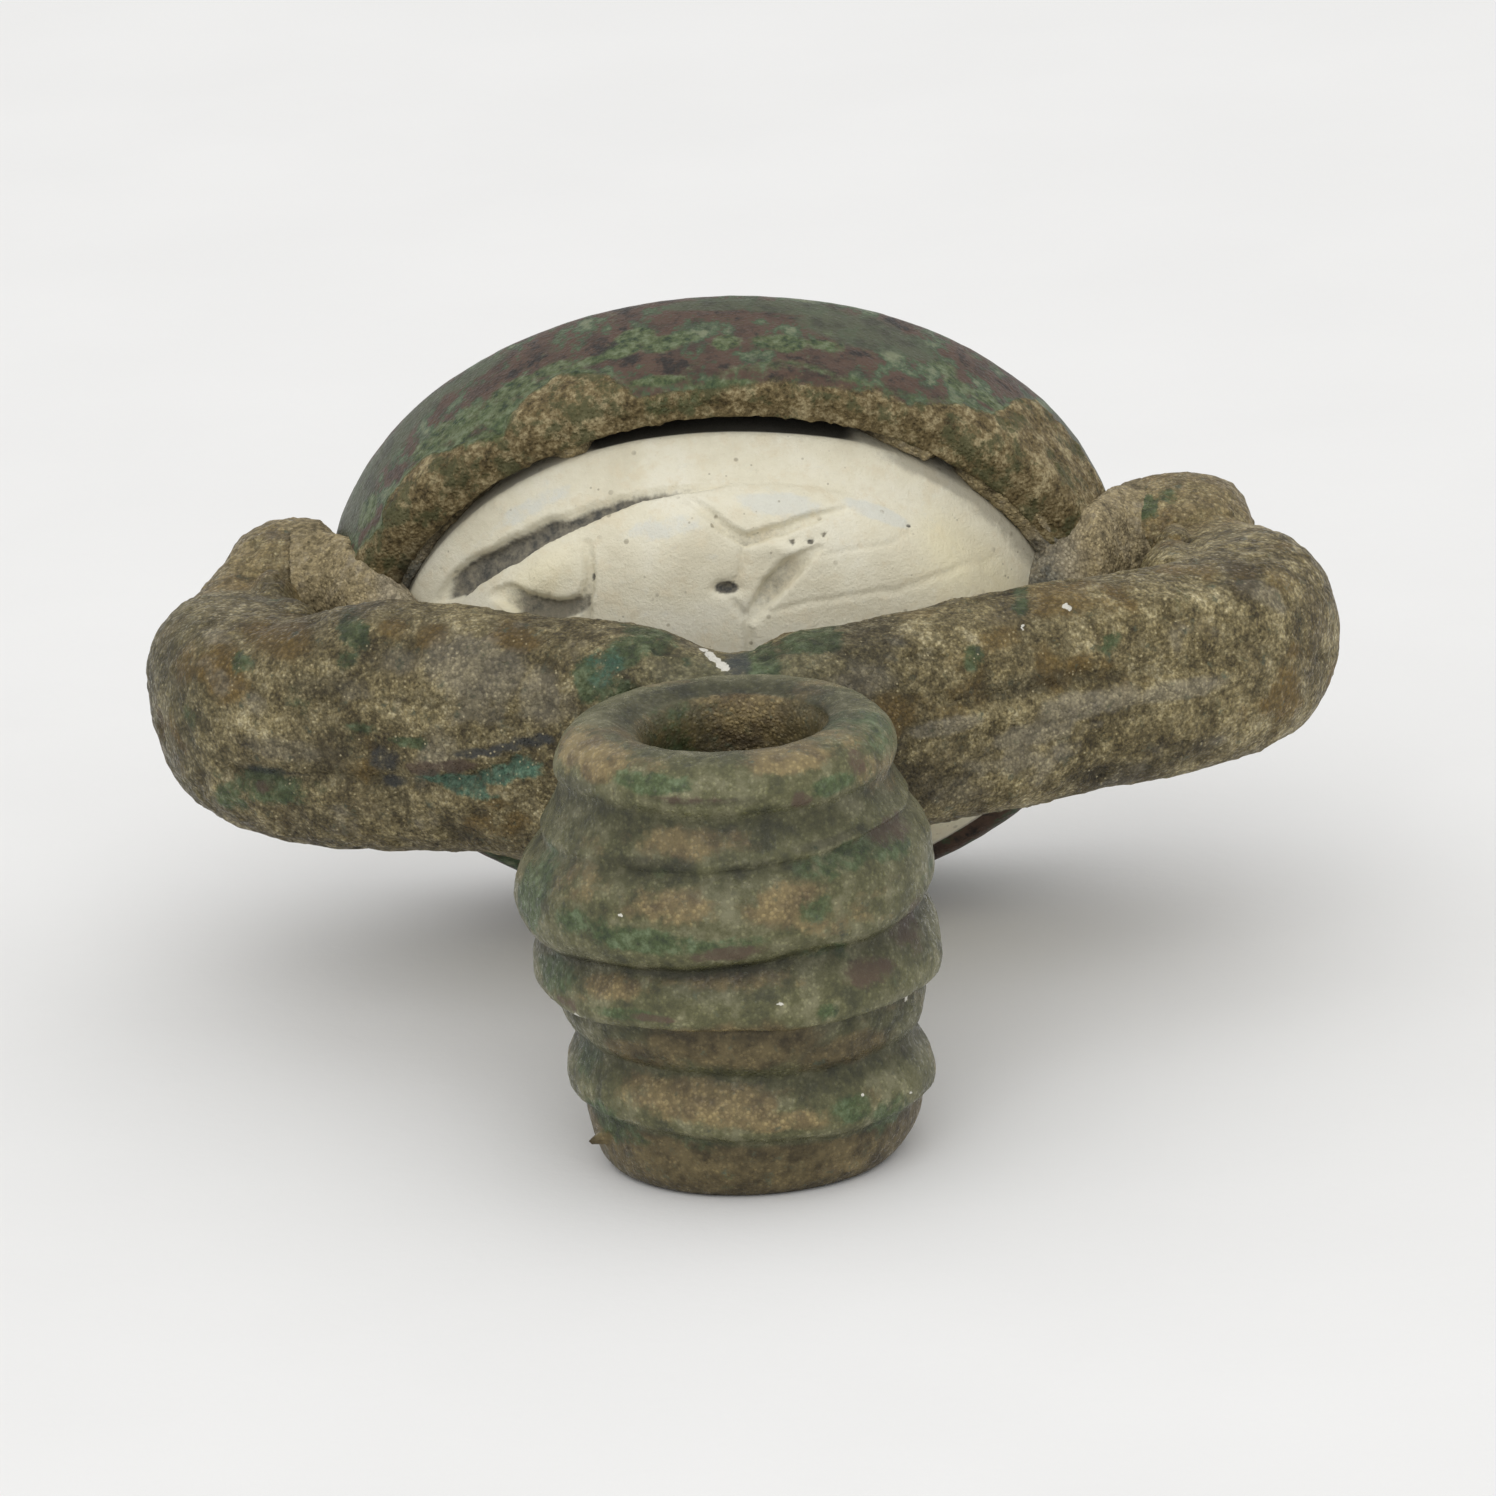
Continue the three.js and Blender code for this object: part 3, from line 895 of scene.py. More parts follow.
@dataclass(frozen=True)
class PackedEarth(Finish):
    """Dry sandy earth, tan to blue-grey."""

    name: str = "packed_earth"
    dark: Colour = (0.110, 0.095, 0.065)
    middle: Colour = (0.410, 0.350, 0.240)
    pale: Colour = (0.440, 0.385, 0.270)
    grey: Colour = (0.175, 0.180, 0.160)
    brown_dark: Colour = (0.130, 0.102, 0.050)
    brown: Colour = (0.395, 0.318, 0.175)

    def material(self) -> bpy.types.Material:
        """Returns the material of this finish."""
        s = Sheet(self.name)
        fine = s.noise(0.14, 5.0, 0.68)
        broad = s.noise(0.8, 4.0, 0.6, 3.0)
        mixed_noise = s.blend((fine, 0.5), (broad, 0.5))
        earth = s.ramp(mixed_noise, (
            (0.32, self.dark), (0.48, self.middle), (0.66, self.pale)))
        ash = s.mix(s.span(fine, 0.35, 0.7, 0.0, 0.6), self.grey, self.middle)
        brown = s.ramp(mixed_noise, (
            (0.36, self.brown_dark), (0.50, self.brown), (0.64, self.middle)))
        colour = s.patches(earth, broad, (("brown", 0.8, 0.35, 1.0, brown), ("ash", 0.8, 0.25, 1.0, ash)))
        grit = s.cells(0.09)
        tone = s.red_of(s.cells(0.09, "Color"))
        colour = s.mix(1.0, colour, s.speckle(tone, grit, 0.76, 1.32), "MULTIPLY")
        # painted light and shade: the rise cover lightens the lumps and darkens the dips
        colour = s.shaded(colour, "rise", 0.1, 0.8, 0.6, 1.15)
        # painted shade: darkens the earth deep in the gap under the collar
        colour = s.shaded(colour, "deep_shade", 0.0, 1.0, 1.0, 0.08)
        rough = s.span(fine, 0.3, 0.7, 0.72, 0.92)
        return s.close(colour, rough, s.gritty(fine, 1.0, grit, 0.5), 0.07, 0.25)


@dataclass(frozen=True)
class PaleFloor(Finish):
    """Plain pale card."""

    name: str = "pale_floor"
    card: Colour = (0.800, 0.800, 0.798)
    card_light: Colour = (0.815, 0.815, 0.813)

    def material(self) -> bpy.types.Material:
        """Returns the material of this finish."""
        s = Sheet(self.name)
        tooth = s.noise(0.4, 4.0, 0.6)
        colour = s.ramp(s.noise(9.0, 3.0, 0.5), ((0.35, self.card), (0.65, self.card_light)))
        return s.close(colour, s.span(tooth, 0.3, 0.7, 0.85, 0.95), tooth, 0.01, 0.2)


# --- hoop -------------------------------------------------------------------


@dataclass
class Hoop:
    """Bent bronze hoop with knobbed ends, and the swelling that carries its cord tube.

    Places are (x, y, level) in millimetres, the level from the hoop's middle plane.
    """

    seed: int = 11
    voxel: float = 0.082
    arm_plan: Path = (
        (3.95, 2.35), (6.85, 3.75), (8.9, 4.75), (10.4, 6.0), (10.88, 7.5), (10.5, 9.2), (9.95, 10.8))
    middle_y: float = 0.9
    left_reach: float = 0.945
    half_depth: float = 1.65
    bend_half_depth: float = 1.95
    end_half_depth: float = 1.15
    left_half_height: float = 2.64
    left_sag: float = 0.1
    left_drop: float = 0.74
    right_drop: float = 0.2
    left_under: Path = ((-11.0, 0.0), (-9.0, -0.16), (-7.0, -0.02), (-5.0, 0.16), (-3.5, 0.0))
    right_half_height: float = 2.24
    squareness: float = 2.35
    middle_dip: float = 0.5
    knob_radius: float = 2.15
    knob_face: float = 8.8
    knob_start: float = 8.4
    left_knob: Path = (
        (0.06, -0.12), (0.15, 0.3), (0.13, 0.8), (-0.03, 1.2), (-0.3, 1.55), (-0.7, 1.85), (-1.15, 2.1),
        (-1.75, 2.2))
    right_knob: Path = (
        (-0.06, -0.12), (0.1, 0.25), (0.18, 0.7), (0.18, 1.35), (0.1, 1.75), (-0.1, 2.08), (-0.45, 2.35),
        (-1.0, 2.55), (-1.6, 2.6))
    pivot_radius: float = 0.65
    pivot_start: float = 8.0
    axis_y: float = AXIS_Y
    tube_y: float = TUBE_Y
    bore_radius: float = BORE_RADIUS
    marks: Marks = field(default_factory=lambda: {
        Tone.GREEN: (
            (-10.1, 1.3, 0.26, 0.2, 0.8), (-7.7, 2.14, 0.38, 0.31, 0.8), (-7.9, 1.7, 0.25, 0.18, 0.8),
            (-7.7, 0.35, 0.42, 0.18, 0.7), (-6.7, 0.13, 0.47, 0.13, 0.9), (-9.6, -1.21, 1.06, 0.44, 0.85),
            (-10.5, -1.58, 0.42, 0.44, 0.8), (6.1, 2.18, 0.19, 0.16, 0.9), (7.9, 1.29, 0.25, 0.22, 0.85),
            (5.0, 1.52, 0.25, 0.27, 0.7), (-11.3, -0.06, 0.21, 0.44, 0.5), (-8.9, 0.81, 0.25, 0.27, 0.4),
            (9.4, 1.81, 0.21, 0.18, 0.5), (-2.2, 2.21, 0.5, 0.22, 0.9), (-2.9, 1.75, 0.3, 0.5, 1.0),
            (-1.6, 2.37, 0.85, 0.2, 0.9), (0.6, 1.93, 0.6, 0.22, 0.9), (1.7, 2.2, 0.9, 0.16, 1.0),
            (-2.3, 1.4, 0.5, 0.5, 0.9)),
        Tone.TEAL: (
            (-6.0, -0.62, 0.55, 0.19, 1.0), (-5.45, -0.62, 0.5, 0.17, 0.9), (-5.0, -0.48, 0.45, 0.19, 0.9),
            (-4.7, -0.3, 0.45, 0.2, 1.0), (-4.3, -0.12, 0.45, 0.26, 1.0), (-5.3, -0.84, 0.6, 0.12, 0.7),
            (-2.6, 2.0, 0.4, 0.4, 0.5)),
        Tone.INK: (
            (-5.5, -0.02, 0.4, 0.1, 0.8), (-5.1, 0.08, 0.45, 0.12, 1.0), (-4.65, 0.22, 0.4, 0.12, 1.0),
            (-4.2, 0.38, 0.4, 0.14, 1.0), (-3.9, 0.5, 0.3, 0.14, 1.0), (-7.2, -0.32, 0.34, 0.31, 0.7),
            (-7.1, -0.79, 0.3, 0.16, 0.9), (-9.6, -0.86, 0.85, 0.11, 0.6), (0.2, 1.89, 0.3, 0.18, 0.8)),
        Tone.RUST: (
            (-6.4, -0.42, 0.45, 0.16, 1.0), (-6.0, -0.34, 0.45, 0.14, 1.0), (-5.6, -0.22, 0.4, 0.12, 1.0),
            (-9.8, -1.23, 0.25, 0.13, 0.6)),
        Tone.GOLD: (
            (-10.5, 1.04, 0.6, 0.62, 1.0), (-11.5, 1.4, 0.5, 0.9, 0.8), (-4.4, 2.32, 0.64, 0.22, 0.9),
            (-6.9, 2.27, 0.42, 0.22, 0.7), (-9.4, 1.9, 0.9, 0.5, 0.8), (11.8, 1.78, 0.85, 0.56, 0.5),
            (6.9, 2.14, 0.85, 0.31, 0.7), (5.6, 1.74, 0.64, 0.27, 0.6), (10.8, 1.89, 0.38, 0.44, 0.6),
            (-4.9, -0.98, 0.42, 0.22, 0.6), (12.4, -0.05, 0.4, 1.11, 0.3), (10.0, 2.3, 0.7, 0.3, 0.6)),
        Tone.ASH: (
            (-5.2, 1.72, 1.17, 0.71, 1.0), (-3.9, 1.28, 0.53, 0.67, 0.8), (-6.8, 1.77, 0.64, 0.33, 0.6),
            (7.3, 0.17, 1.27, 0.36, 0.9), (4.3, 0.27, 0.85, 0.22, 1.0), (6.1, -0.27, 1.06, 0.31, 0.8),
            (9.3, 0.08, 1.06, 0.27, 0.8), (2.7, 1.52, 0.85, 0.44, 0.6), (-9.2, -0.31, 1.27, 0.31, 0.6),
            (-7.8, 1.11, 0.53, 0.27, 0.5), (4.6, -1.23, 0.85, 0.44, 0.5)),
        # dark patches on the arms; the same cover carries painted shade on the tube
        Tone.DARK: (
            (-8.4, 1.12, 0.74, 0.31, 0.7), (-7.8, 2.54, 0.64, 0.31, 0.5), (10.8, 1.89, 0.53, 0.49, 0.9),
            (6.1, 0.81, 1.48, 0.27, 0.7), (8.1, -1.63, 1.48, 0.4, 0.7), (9.7, -1.31, 1.06, 0.31, 0.6),
            (4.0, -1.09, 0.85, 0.44, 0.5), (2.9, 2.11, 1.06, 0.4, 0.6), (-10.0, -0.2, 0.64, 0.22, 0.5),
            (-6.2, 1.07, 0.85, 0.27, 0.5)),
        Tone.CHALK: (
            (7.0, 2.05, 0.09, 0.04, 1.0), (7.1, 2.01, 0.06, 0.04, 1.0), (8.5, 2.23, 0.06, 0.03, 0.9),
            (6.1, 1.88, 0.04, 0.07, 0.8)),
    })
    crook_fills: tuple[tuple[Point, Point], ...] = (
        ((-9.55, 8.7, 0.5), (0.62, 1.5, 1.5)), ((-9.2, 7.15, 0.35), (0.9, 1.7, 1.42)),
        ((9.55, 8.7, 0.5), (0.62, 1.5, 1.5)), ((9.45, 7.35, 0.45), (0.9, 1.75, 1.52)))
    left_line: Path = ((-10.8, -1.04), (-8.5, -0.84), (-6.3, -0.8), (-4.8, -0.27), (-3.9, 0.37))
    right_line: Path = ((4.0, 0.33), (7.4, 0.23), (11.0, 0.16))
    neck_chips: tuple[Stain, ...] = (
        Stain((-0.52, 1.2, 1.95), (0.16, 0.2, 0.3)), Stain((-0.4, 1.0, 1.95), (0.16, 0.2, 0.3)),
        Stain((-0.28, 0.8, 1.93), (0.15, 0.2, 0.3)), Stain((-0.16, 0.6, 1.9), (0.14, 0.19, 0.3)),
        Stain((-0.06, 0.42, 1.86), (0.11, 0.15, 0.3)))
    knob_green: tuple[Stain, ...] = (
        Stain((9.0, 10.1, 1.9), (0.35, 0.5, 0.5)), Stain((9.5, 10.3, 2.0), (0.3, 0.4, 0.4), 0.7))

    def plan_line(self, steps: int) -> tuple[Array, Array]:
        """Runs a smooth line through the plan of both arms.

        Args:
            steps: Number of stations.

        Returns:
            Places and directions of evenly spaced stations in the plan.
        """
        right = np.array(self.arm_plan)
        shrink = -mixed(self.left_reach, 1.0, ease(right[:, 1], 7.0, 10.0))
        left = right * np.stack([shrink, np.ones(len(right))], axis=1)
        knots = np.vstack([left[::-1], [[0.0, self.middle_y]], right])
        knots = np.vstack([2 * knots[0] - knots[1], knots, 2 * knots[-1] - knots[-2]])
        line = []
        for a, b, c, d in zip(knots, knots[1:], knots[2:], knots[3:]):
            spans = (np.linalg.norm(q - p) ** 0.5 for p, q in ((a, b), (b, c), (c, d)))
            times = np.cumsum([0.0, *spans])
            t = np.linspace(times[1], times[2], 60, endpoint=False)[:, None]
            ab = a + (b - a) * (t - times[0]) / (times[1] - times[0])
            bc = b + (c - b) * (t - times[1]) / (times[2] - times[1])
            cd = c + (d - c) * (t - times[2]) / (times[3] - times[2])
            abc = ab + (bc - ab) * (t - times[0]) / (times[2] - times[0])
            bcd = bc + (cd - bc) * (t - times[1]) / (times[3] - times[1])
            line.append(abc + (bcd - abc) * (t - times[1]) / (times[2] - times[1]))
        dense = np.vstack([*line, knots[-2][None, :]])
        run = np.concatenate([[0.0], np.cumsum(np.linalg.norm(np.diff(dense, axis=0), axis=1))])
        even = np.linspace(0.0, run[-1], steps)
        places = np.stack([np.interp(even, run, dense[:, i]) for i in (0, 1)], axis=1)
        ways = np.gradient(places, axis=0)
        return places, ways / np.linalg.norm(ways, axis=1, keepdims=True)

    def arms(self) -> Skin:
        """Returns the bent bar of both arms."""
        places, ways = self.plan_line(240)
        turn = full_turn(64)
        loops = np.empty((len(places), len(turn), 3))
        for row, ((x, y), (dx, dy)) in enumerate(zip(places, ways)):
            side, end = ease(x, -3.0, 3.0), ease(y, 7.4, 10.6)
            height = mixed(self.left_half_height, self.right_half_height, side)
            depth = mixed(self.half_depth, self.bend_half_depth, ease(y, 3.8, 7.5))
            power = 2.0 / mixed(self.squareness, 2.0, end)
            cos, sin = np.cos(turn), np.sin(turn)
            across = mixed(depth, self.end_half_depth, end) * np.sign(cos) * np.abs(cos) ** power
            up = mixed(height, self.knob_radius - 0.25, end) * np.sign(sin) * np.abs(sin) ** power
            up = up - self.left_sag * (1.0 - side) * (1.0 - end)
            up = up - self.middle_dip * hump(x, 0.0, 1.1) * np.maximum(0.0, sin)
            drop = mixed(self.left_drop, self.right_drop, side)
            drop = drop * ease(y, 3.9, 5.7) * (1.0 - ease(y, 8.6, 10.8))
            under = height_at(self.left_under, x) * (1.0 - ease(y, 5.0, 6.5))
            up = up - drop * np.maximum(0.0, sin) + under * np.maximum(0.0, -sin)
            loops[row] = np.stack([x - dy * across, y + dx * across, up], axis=1)
        free = (loops[..., 1] > self.knob_start) & (np.abs(loops[..., 0]) < self.knob_face)
        loops[..., 0] = np.where(free, np.sign(loops[..., 0]) * self.knob_face, loops[..., 0])
        return Skin.from_loops(loops)

    @staticmethod
    def egg(middle: Point, reach: Point) -> Array:
        """Returns the loops of an egg round a middle, with its reach along each axis."""
        rise, turn = np.meshgrid(np.linspace(0.02, math.pi - 0.02, 40), full_turn(64), indexing="ij")
        ball = np.stack([np.sin(rise) * np.cos(turn), np.sin(rise) * np.sin(turn), np.cos(rise)], axis=-1)
        return np.array(middle) + ball * np.array(reach)

    def crooks(self) -> list[Skin]:
        """Returns the filled inner corners between the arms and the knobs."""
        return [Skin.from_loops(self.egg(middle, reach)) for middle, reach in self.crook_fills]

    def saddle(self) -> Skin:
        """Returns the swelling that carries the tube, hollowed to the bore."""
        loops = self.egg((0.0, -1.2, 0.0), (2.7, 2.5, 1.75))
        across = np.hypot(loops[..., 0], loops[..., 1] - self.tube_y)
        push = np.maximum(1.0, (self.bore_radius + 0.5) / np.maximum(across, 1e-6))
        loops[..., 0] *= push
        loops[..., 1] = self.tube_y + (loops[..., 1] - self.tube_y) * push
        return Skin.from_loops(loops)

    def round_axis(self, side: Side, rings: Path) -> Skin:
        """Turns rings round the swivel axis.

        Args:
            side: End of the hoop.
            rings: Radius and distance from the middle of each ring.

        Returns:
            The closed turned skin.
        """
        turn = full_turn(72)
        loops = np.array([
            np.stack([np.full(72, side.value * x), self.axis_y + r * np.cos(turn), r * np.sin(turn)], axis=1)
            for r, x in rings])
        return Skin.from_loops(loops)

    def ends(self) -> list[Skin]:
        """Returns the knobs and pivots of both ends."""
        face, r = self.knob_face, self.knob_radius
        left, right = (
            tuple((r + out, face + along) for out, along in knob)
            for knob in (self.left_knob, self.right_knob))
        pin = ((self.pivot_radius - 0.08, self.pivot_start), (self.pivot_radius, self.pivot_start + 0.1),
               (self.pivot_radius, face + 0.6))
        return [self.round_axis(Side.LEFT, left), self.round_axis(Side.RIGHT, right),
                self.round_axis(Side.LEFT, pin), self.round_axis(Side.RIGHT, pin)]

    def sand_lift(self, cast: Cast, grain: Grain) -> tuple[Array, Array]:
        """Works out the lumps and grit of the crust.

        Args:
            cast: The fused hoop.
            grain: Its noise.

        Returns:
            Height of the crust in millimetres, and how thick it lies, 0 to 1.
        """
        p = cast.points
        lumps = 0.08 * grain.layered(p, 2.6, 3) + 0.05 * grain.layered(p + 40.0, 0.9, 3)
        grit = 0.045 * grain.domes(p, 0.24, 0.35, 0.95) + 0.035 * grain.layered(p + 80.0, 0.3, 2)
        pits = -0.09 * ease(grain.waves(p + 120.0, 0.7), 0.35, 0.8)
        thick = np.clip(0.5 + 0.9 * grain.layered(p + 160.0, 1.6, 3), 0.0, 1.0)
        return lumps + pits + (0.3 + 0.7 * thick) * grit, thick

    def cast_lines(self, cast: Cast) -> Array:
        """Works out the long lines along the front of the arms.

        Args:
            cast: The fused hoop.

        Returns:
            Height of the lines in millimetres.
        """
        x, _, level = cast.points.T
        front = ease(-cast.normals[:, 1], 0.15, 0.6)
        left_level = height_at(self.left_line, x)
        left = ease(-x, 3.6, 4.6) * (1.0 - ease(-x, 10.2, 11.2))
        right_level = height_at(self.right_line, x)
        right = ease(x, 3.6, 4.8) * (1.0 - ease(x, 10.6, 11.8))
        groove = 0.05 * left * hump(level, left_level - 0.45, 0.25)
        groove -= 0.10 * left * hump(level, left_level, 0.17)
        ridge = 0.10 * right * hump(level, right_level, 0.22)
        ridge -= 0.09 * right * hump(level, right_level + 0.42, 0.16)
        ledge = 0.10 * ease(x, 7.0, 8.6) * (1.0 - ease(x, 11.5, 12.2)) * hump(level, 1.75, 0.35)
        return front * (groove + ridge + ledge)

    def build(self, datum: Datum) -> bpy.types.Object:
        """Builds and weathers the hoop.

        Args:
            datum: Shared datum.

        Returns:
            The hoop, in place.
        """
        skins = [self.arms(), self.saddle(), *self.crooks(), *self.ends()]
        cast = Cast.fused(Skin.joined(skins), self.voxel, smooth=3)
        grain = Grain(self.seed)
        crust, thick = self.sand_lift(cast, grain)
        height = crust + self.cast_lines(cast)
        p = cast.pushed(height)
        off_axis = np.hypot(p[:, 1] - self.axis_y, p[:, 2])
        at_face = np.abs(cast.points[:, 0]) > self.knob_face - 0.15
        past_face = (p[:, 1] > self.knob_start) & (np.abs(p[:, 0]) < self.knob_face)
        near = past_face & at_face & (off_axis > self.pivot_radius + 0.1)
        p[:, 0] = np.where(near, np.sign(p[:, 0]) * self.knob_face, p[:, 0])
        x, y, level = cast.points.T
        front = ease(-cast.normals[:, 1], -0.5, 0.1)
        masks = painted(np.stack([x, level], axis=1), cast.points, self.marks, grain)
        masks = {name: cover * front * (1.0 - ease(y, 5.2, 6.4)) for name, cover in masks.items()}
        masks["chalk"] = np.maximum(masks["chalk"], stained(cast.points, self.neck_chips, grain))
        spread = grain.layered(cast.points + 200.0, 1.1, 4)
        patchy = grain.layered(cast.points + 260.0, 1.5, 4)
        masks["green"] = np.maximum.reduce([
            masks["green"], stained(cast.points, self.knob_green, grain), 0.6 * ease(spread, 0.42, 0.85)])
        masks["gold"] = np.maximum(masks["gold"], 0.75 * ease(patchy, 0.18, 0.6))
        masks["ash"] = np.maximum(masks["ash"], 0.7 * ease(-patchy, 0.22, 0.6))
        masks["bare"] = 0.55 * ease(0.45 - thick, 0.0, 0.4)
        # tan over the knobs: partly their crust, partly painted light on their shaded tops
        knob = ease(y, 7.6, 9.2)
        masks["tan"] = np.maximum(masks["tan"], 0.6 * knob)
        neck = hump(x, 0.0, 2.4) * ease(level, 0.8, 1.6) * (1.0 - ease(y, 0.2, 1.6))
        masks["calm"] = np.maximum(0.8 * neck, 0.35 * ease(-x, 10.2, 11.8))
        # paler_and_lit: lighter towards the right end and darker towards the left; on the knobs it is painted
        # light, strongest beside their inner faces where the corner shades them
        paler_and_lit = 0.10 * ease(x, 3.0, 8.0) - 0.04 * ease(-x, 3.0, 8.0) + 0.08 * ease(x, 8.5, 11.0)
        paler_and_lit += knob * (0.2 + 0.14 * ease(-np.abs(x), -10.0, -9.1))
        # rise is painted light and shade: lighter where the crust and the cast lines stand up, darker where
        # they sink
        masks["rise"] = 0.5 + 3.2 * crust + 1.6 * (height - crust) + paler_and_lit
        return cast.piece("hoop_arms", datum.from_hoop(p), masks)


@dataclass
class CordTube:
    """Ribbed cord tube at the middle of the hoop, open from end to end.

    Places round it are (angle in degrees, level), with the viewer at 270 degrees.
    """

    seed: int = 17
    tube_y: float = TUBE_Y
    foot_level: float = -6.951
    bore_radius: float = BORE_RADIUS
    columns: int = 432
    step: float = 0.075
    profile: Path = (
        (2.06, 2.14), (2.34, 2.29), (2.72, 2.30), (3.06, 2.20), (3.30, 1.98), (3.44, 1.66), (3.46, 1.42),
        (3.36, 1.26), (3.35, 1.12), (3.46, 0.86), (3.62, 0.56), (3.77, 0.34), (3.69, 0.20), (3.86, 0.04),
        (4.05, -0.24), (4.19, -0.62), (4.24, -1.02), (4.22, -1.36), (4.11, -1.60), (3.90, -1.74),
        (3.86, -1.88), (3.98, -2.08), (4.12, -2.44), (4.16, -2.84), (4.08, -3.06), (3.74, -3.14),
        (3.72, -3.50), (3.58, -3.96), (3.40, -4.22), (3.50, -4.44), (3.68, -4.78), (3.74, -5.14),
        (3.68, -5.46), (3.42, -5.62), (3.40, -5.80), (3.37, -6.00), (3.28, -6.34), (3.12, -6.68),
        (2.96, -6.88), (2.80, -6.951))
    tilts: Path = ((-4.3, -0.15), (-1.7, 0.24), (0.2, 0.2), (1.2, 0.0))
    leans: Path = ((-6.9, 0.0), (-5.2, 0.05), (-2.4, -0.12), (-1.0, -0.28), (0.3, -0.22), (2.2, -0.1))
    marks: Marks = field(default_factory=lambda: {
        Tone.TAN: (
            (205, 2.05, 29, 0.31, 1.0), (296, 2.18, 20, 0.27, 1.0), (328, 2.24, 17, 0.27, 0.7),
            (257, 0.78, 22, 0.31, 0.8), (255, -0.33, 14, 0.4, 0.8), (286, -0.51, 12, 0.49, 1.0),
            (231, -2.2, 11, 0.31, 0.9), (221, -0.14, 12, 0.4, 0.5), (253, -4.71, 33, 0.49, 0.95),
            (270, -2.03, 18, 0.22, 0.6), (308, -4.95, 8, 0.31, 0.6), (276, -5.05, 20, 0.31, 0.8),
            (236, -4.61, 16, 0.36, 0.8), (269, 0.81, 11, 0.22, 0.7), (324, 1.66, 9, 0.31, 0.6)),
        Tone.GREEN: (
            (241, 1.88, 15, 0.22, 1.0), (309, 1.63, 12, 0.22, 0.9), (199, -0.52, 12, 0.89, 0.95),
            (243, -1.01, 18, 0.31, 1.0), (223, -0.81, 11, 0.31, 0.85), (269, -1.18, 15, 0.22, 0.8),
            (295, -0.75, 6, 0.31, 0.7), (308, 0.03, 22, 0.31, 0.7), (212, -5.65, 14, 0.49, 0.95),
            (303, -5.02, 9, 0.36, 0.95), (318, -5.45, 10, 0.44, 0.8), (238, -2.75, 14, 0.16, 0.7),
            (294, -2.81, 4, 0.22, 0.85), (204, -2.31, 13, 0.56, 0.7), (201, -4.41, 14, 0.56, 0.6),
            (249, -5.73, 9, 0.22, 0.5), (344, 2.12, 23, 0.44, 0.6), (223, -5.88, 9, 0.18, 0.7),
            (326, -0.18, 11, 0.27, 0.8), (120, 1.4, 40, 0.5, 0.8)),
        # painted shade in the creases under the rim and below the bulge, with a few dark patches
        Tone.DARK: (
            (265, 1.58, 24, 0.13, 0.6), (245, 0.38, 17, 0.16, 0.8), (276, 0.29, 13, 0.13, 0.7),
            (304, 0.46, 18, 0.13, 0.7), (263, -1.82, 30, 0.18, 0.8), (222, -1.74, 17, 0.16, 0.7),
            (315, -2.91, 13, 0.44, 0.4), (207, 1.5, 13, 0.18, 0.6)),
        Tone.RUST: (
            (320, 1.86, 6, 0.31, 0.7), (295, 1.44, 4, 0.18, 0.7), (270, -1.35, 12, 0.18, 0.9),
            (311, -2.3, 10, 0.27, 0.8), (332, -1.81, 8, 0.56, 0.8), (246, -2.79, 9, 0.11, 0.9),
            (212, -2.8, 6, 0.18, 0.8), (330, 0.12, 13, 0.31, 0.7), (258, 1.63, 14, 0.1, 0.7)),
        Tone.BARE: (
            (267, -3.44, 34, 0.58, 1.0), (303, -3.82, 23, 0.44, 0.8), (234, -3.85, 20, 0.4, 0.8),
            (216, 1.84, 12, 0.2, 0.8)),
        Tone.CHALK: (
            (216, -3.01, 1.6, 0.04, 1.0), (257, -2.79, 1.6, 0.04, 0.9), (281, -2.5, 1.2, 0.05, 0.8),
            (331, -3.26, 2, 0.05, 0.9), (328, -5.16, 2, 0.05, 0.8), (239, -0.55, 1, 0.05, 0.8),
            (307, -4.81, 1, 0.05, 0.8), (303, -5.0, 1, 0.04, 0.7)),
    })

    def outline(self) -> tuple[Array, int]:
        """Runs the wall's outline down the outside and up the bore.

        Returns:
            Radius and level of each point, and the number of points on the outside.
        """
        knots = np.array(self.profile)
        run = np.concatenate([[0.0], np.cumsum(np.linalg.norm(np.diff(knots, axis=0), axis=1))])
        even = np.linspace(0.0, run[-1], int(run[-1] / self.step))
        outer = np.stack([np.interp(even, run, knots[:, i]) for i in (0, 1)], axis=1)
        outer[1:-1] = 0.25 * outer[:-2] + 0.5 * outer[1:-1] + 0.25 * outer[2:]
        levels = np.concatenate([np.linspace(self.foot_level, 0.2, 22), np.linspace(0.3, 1.6, 14)])
        bore = np.stack([np.full(len(levels), self.bore_radius), levels], axis=1)
        bore[:2, 0] += (0.25, 0.06)
        mouth = np.array([(1.83, 1.76), (1.90, 1.94), (1.98, 2.06)])
        return np.vstack([outer, bore, mouth]), len(outer)

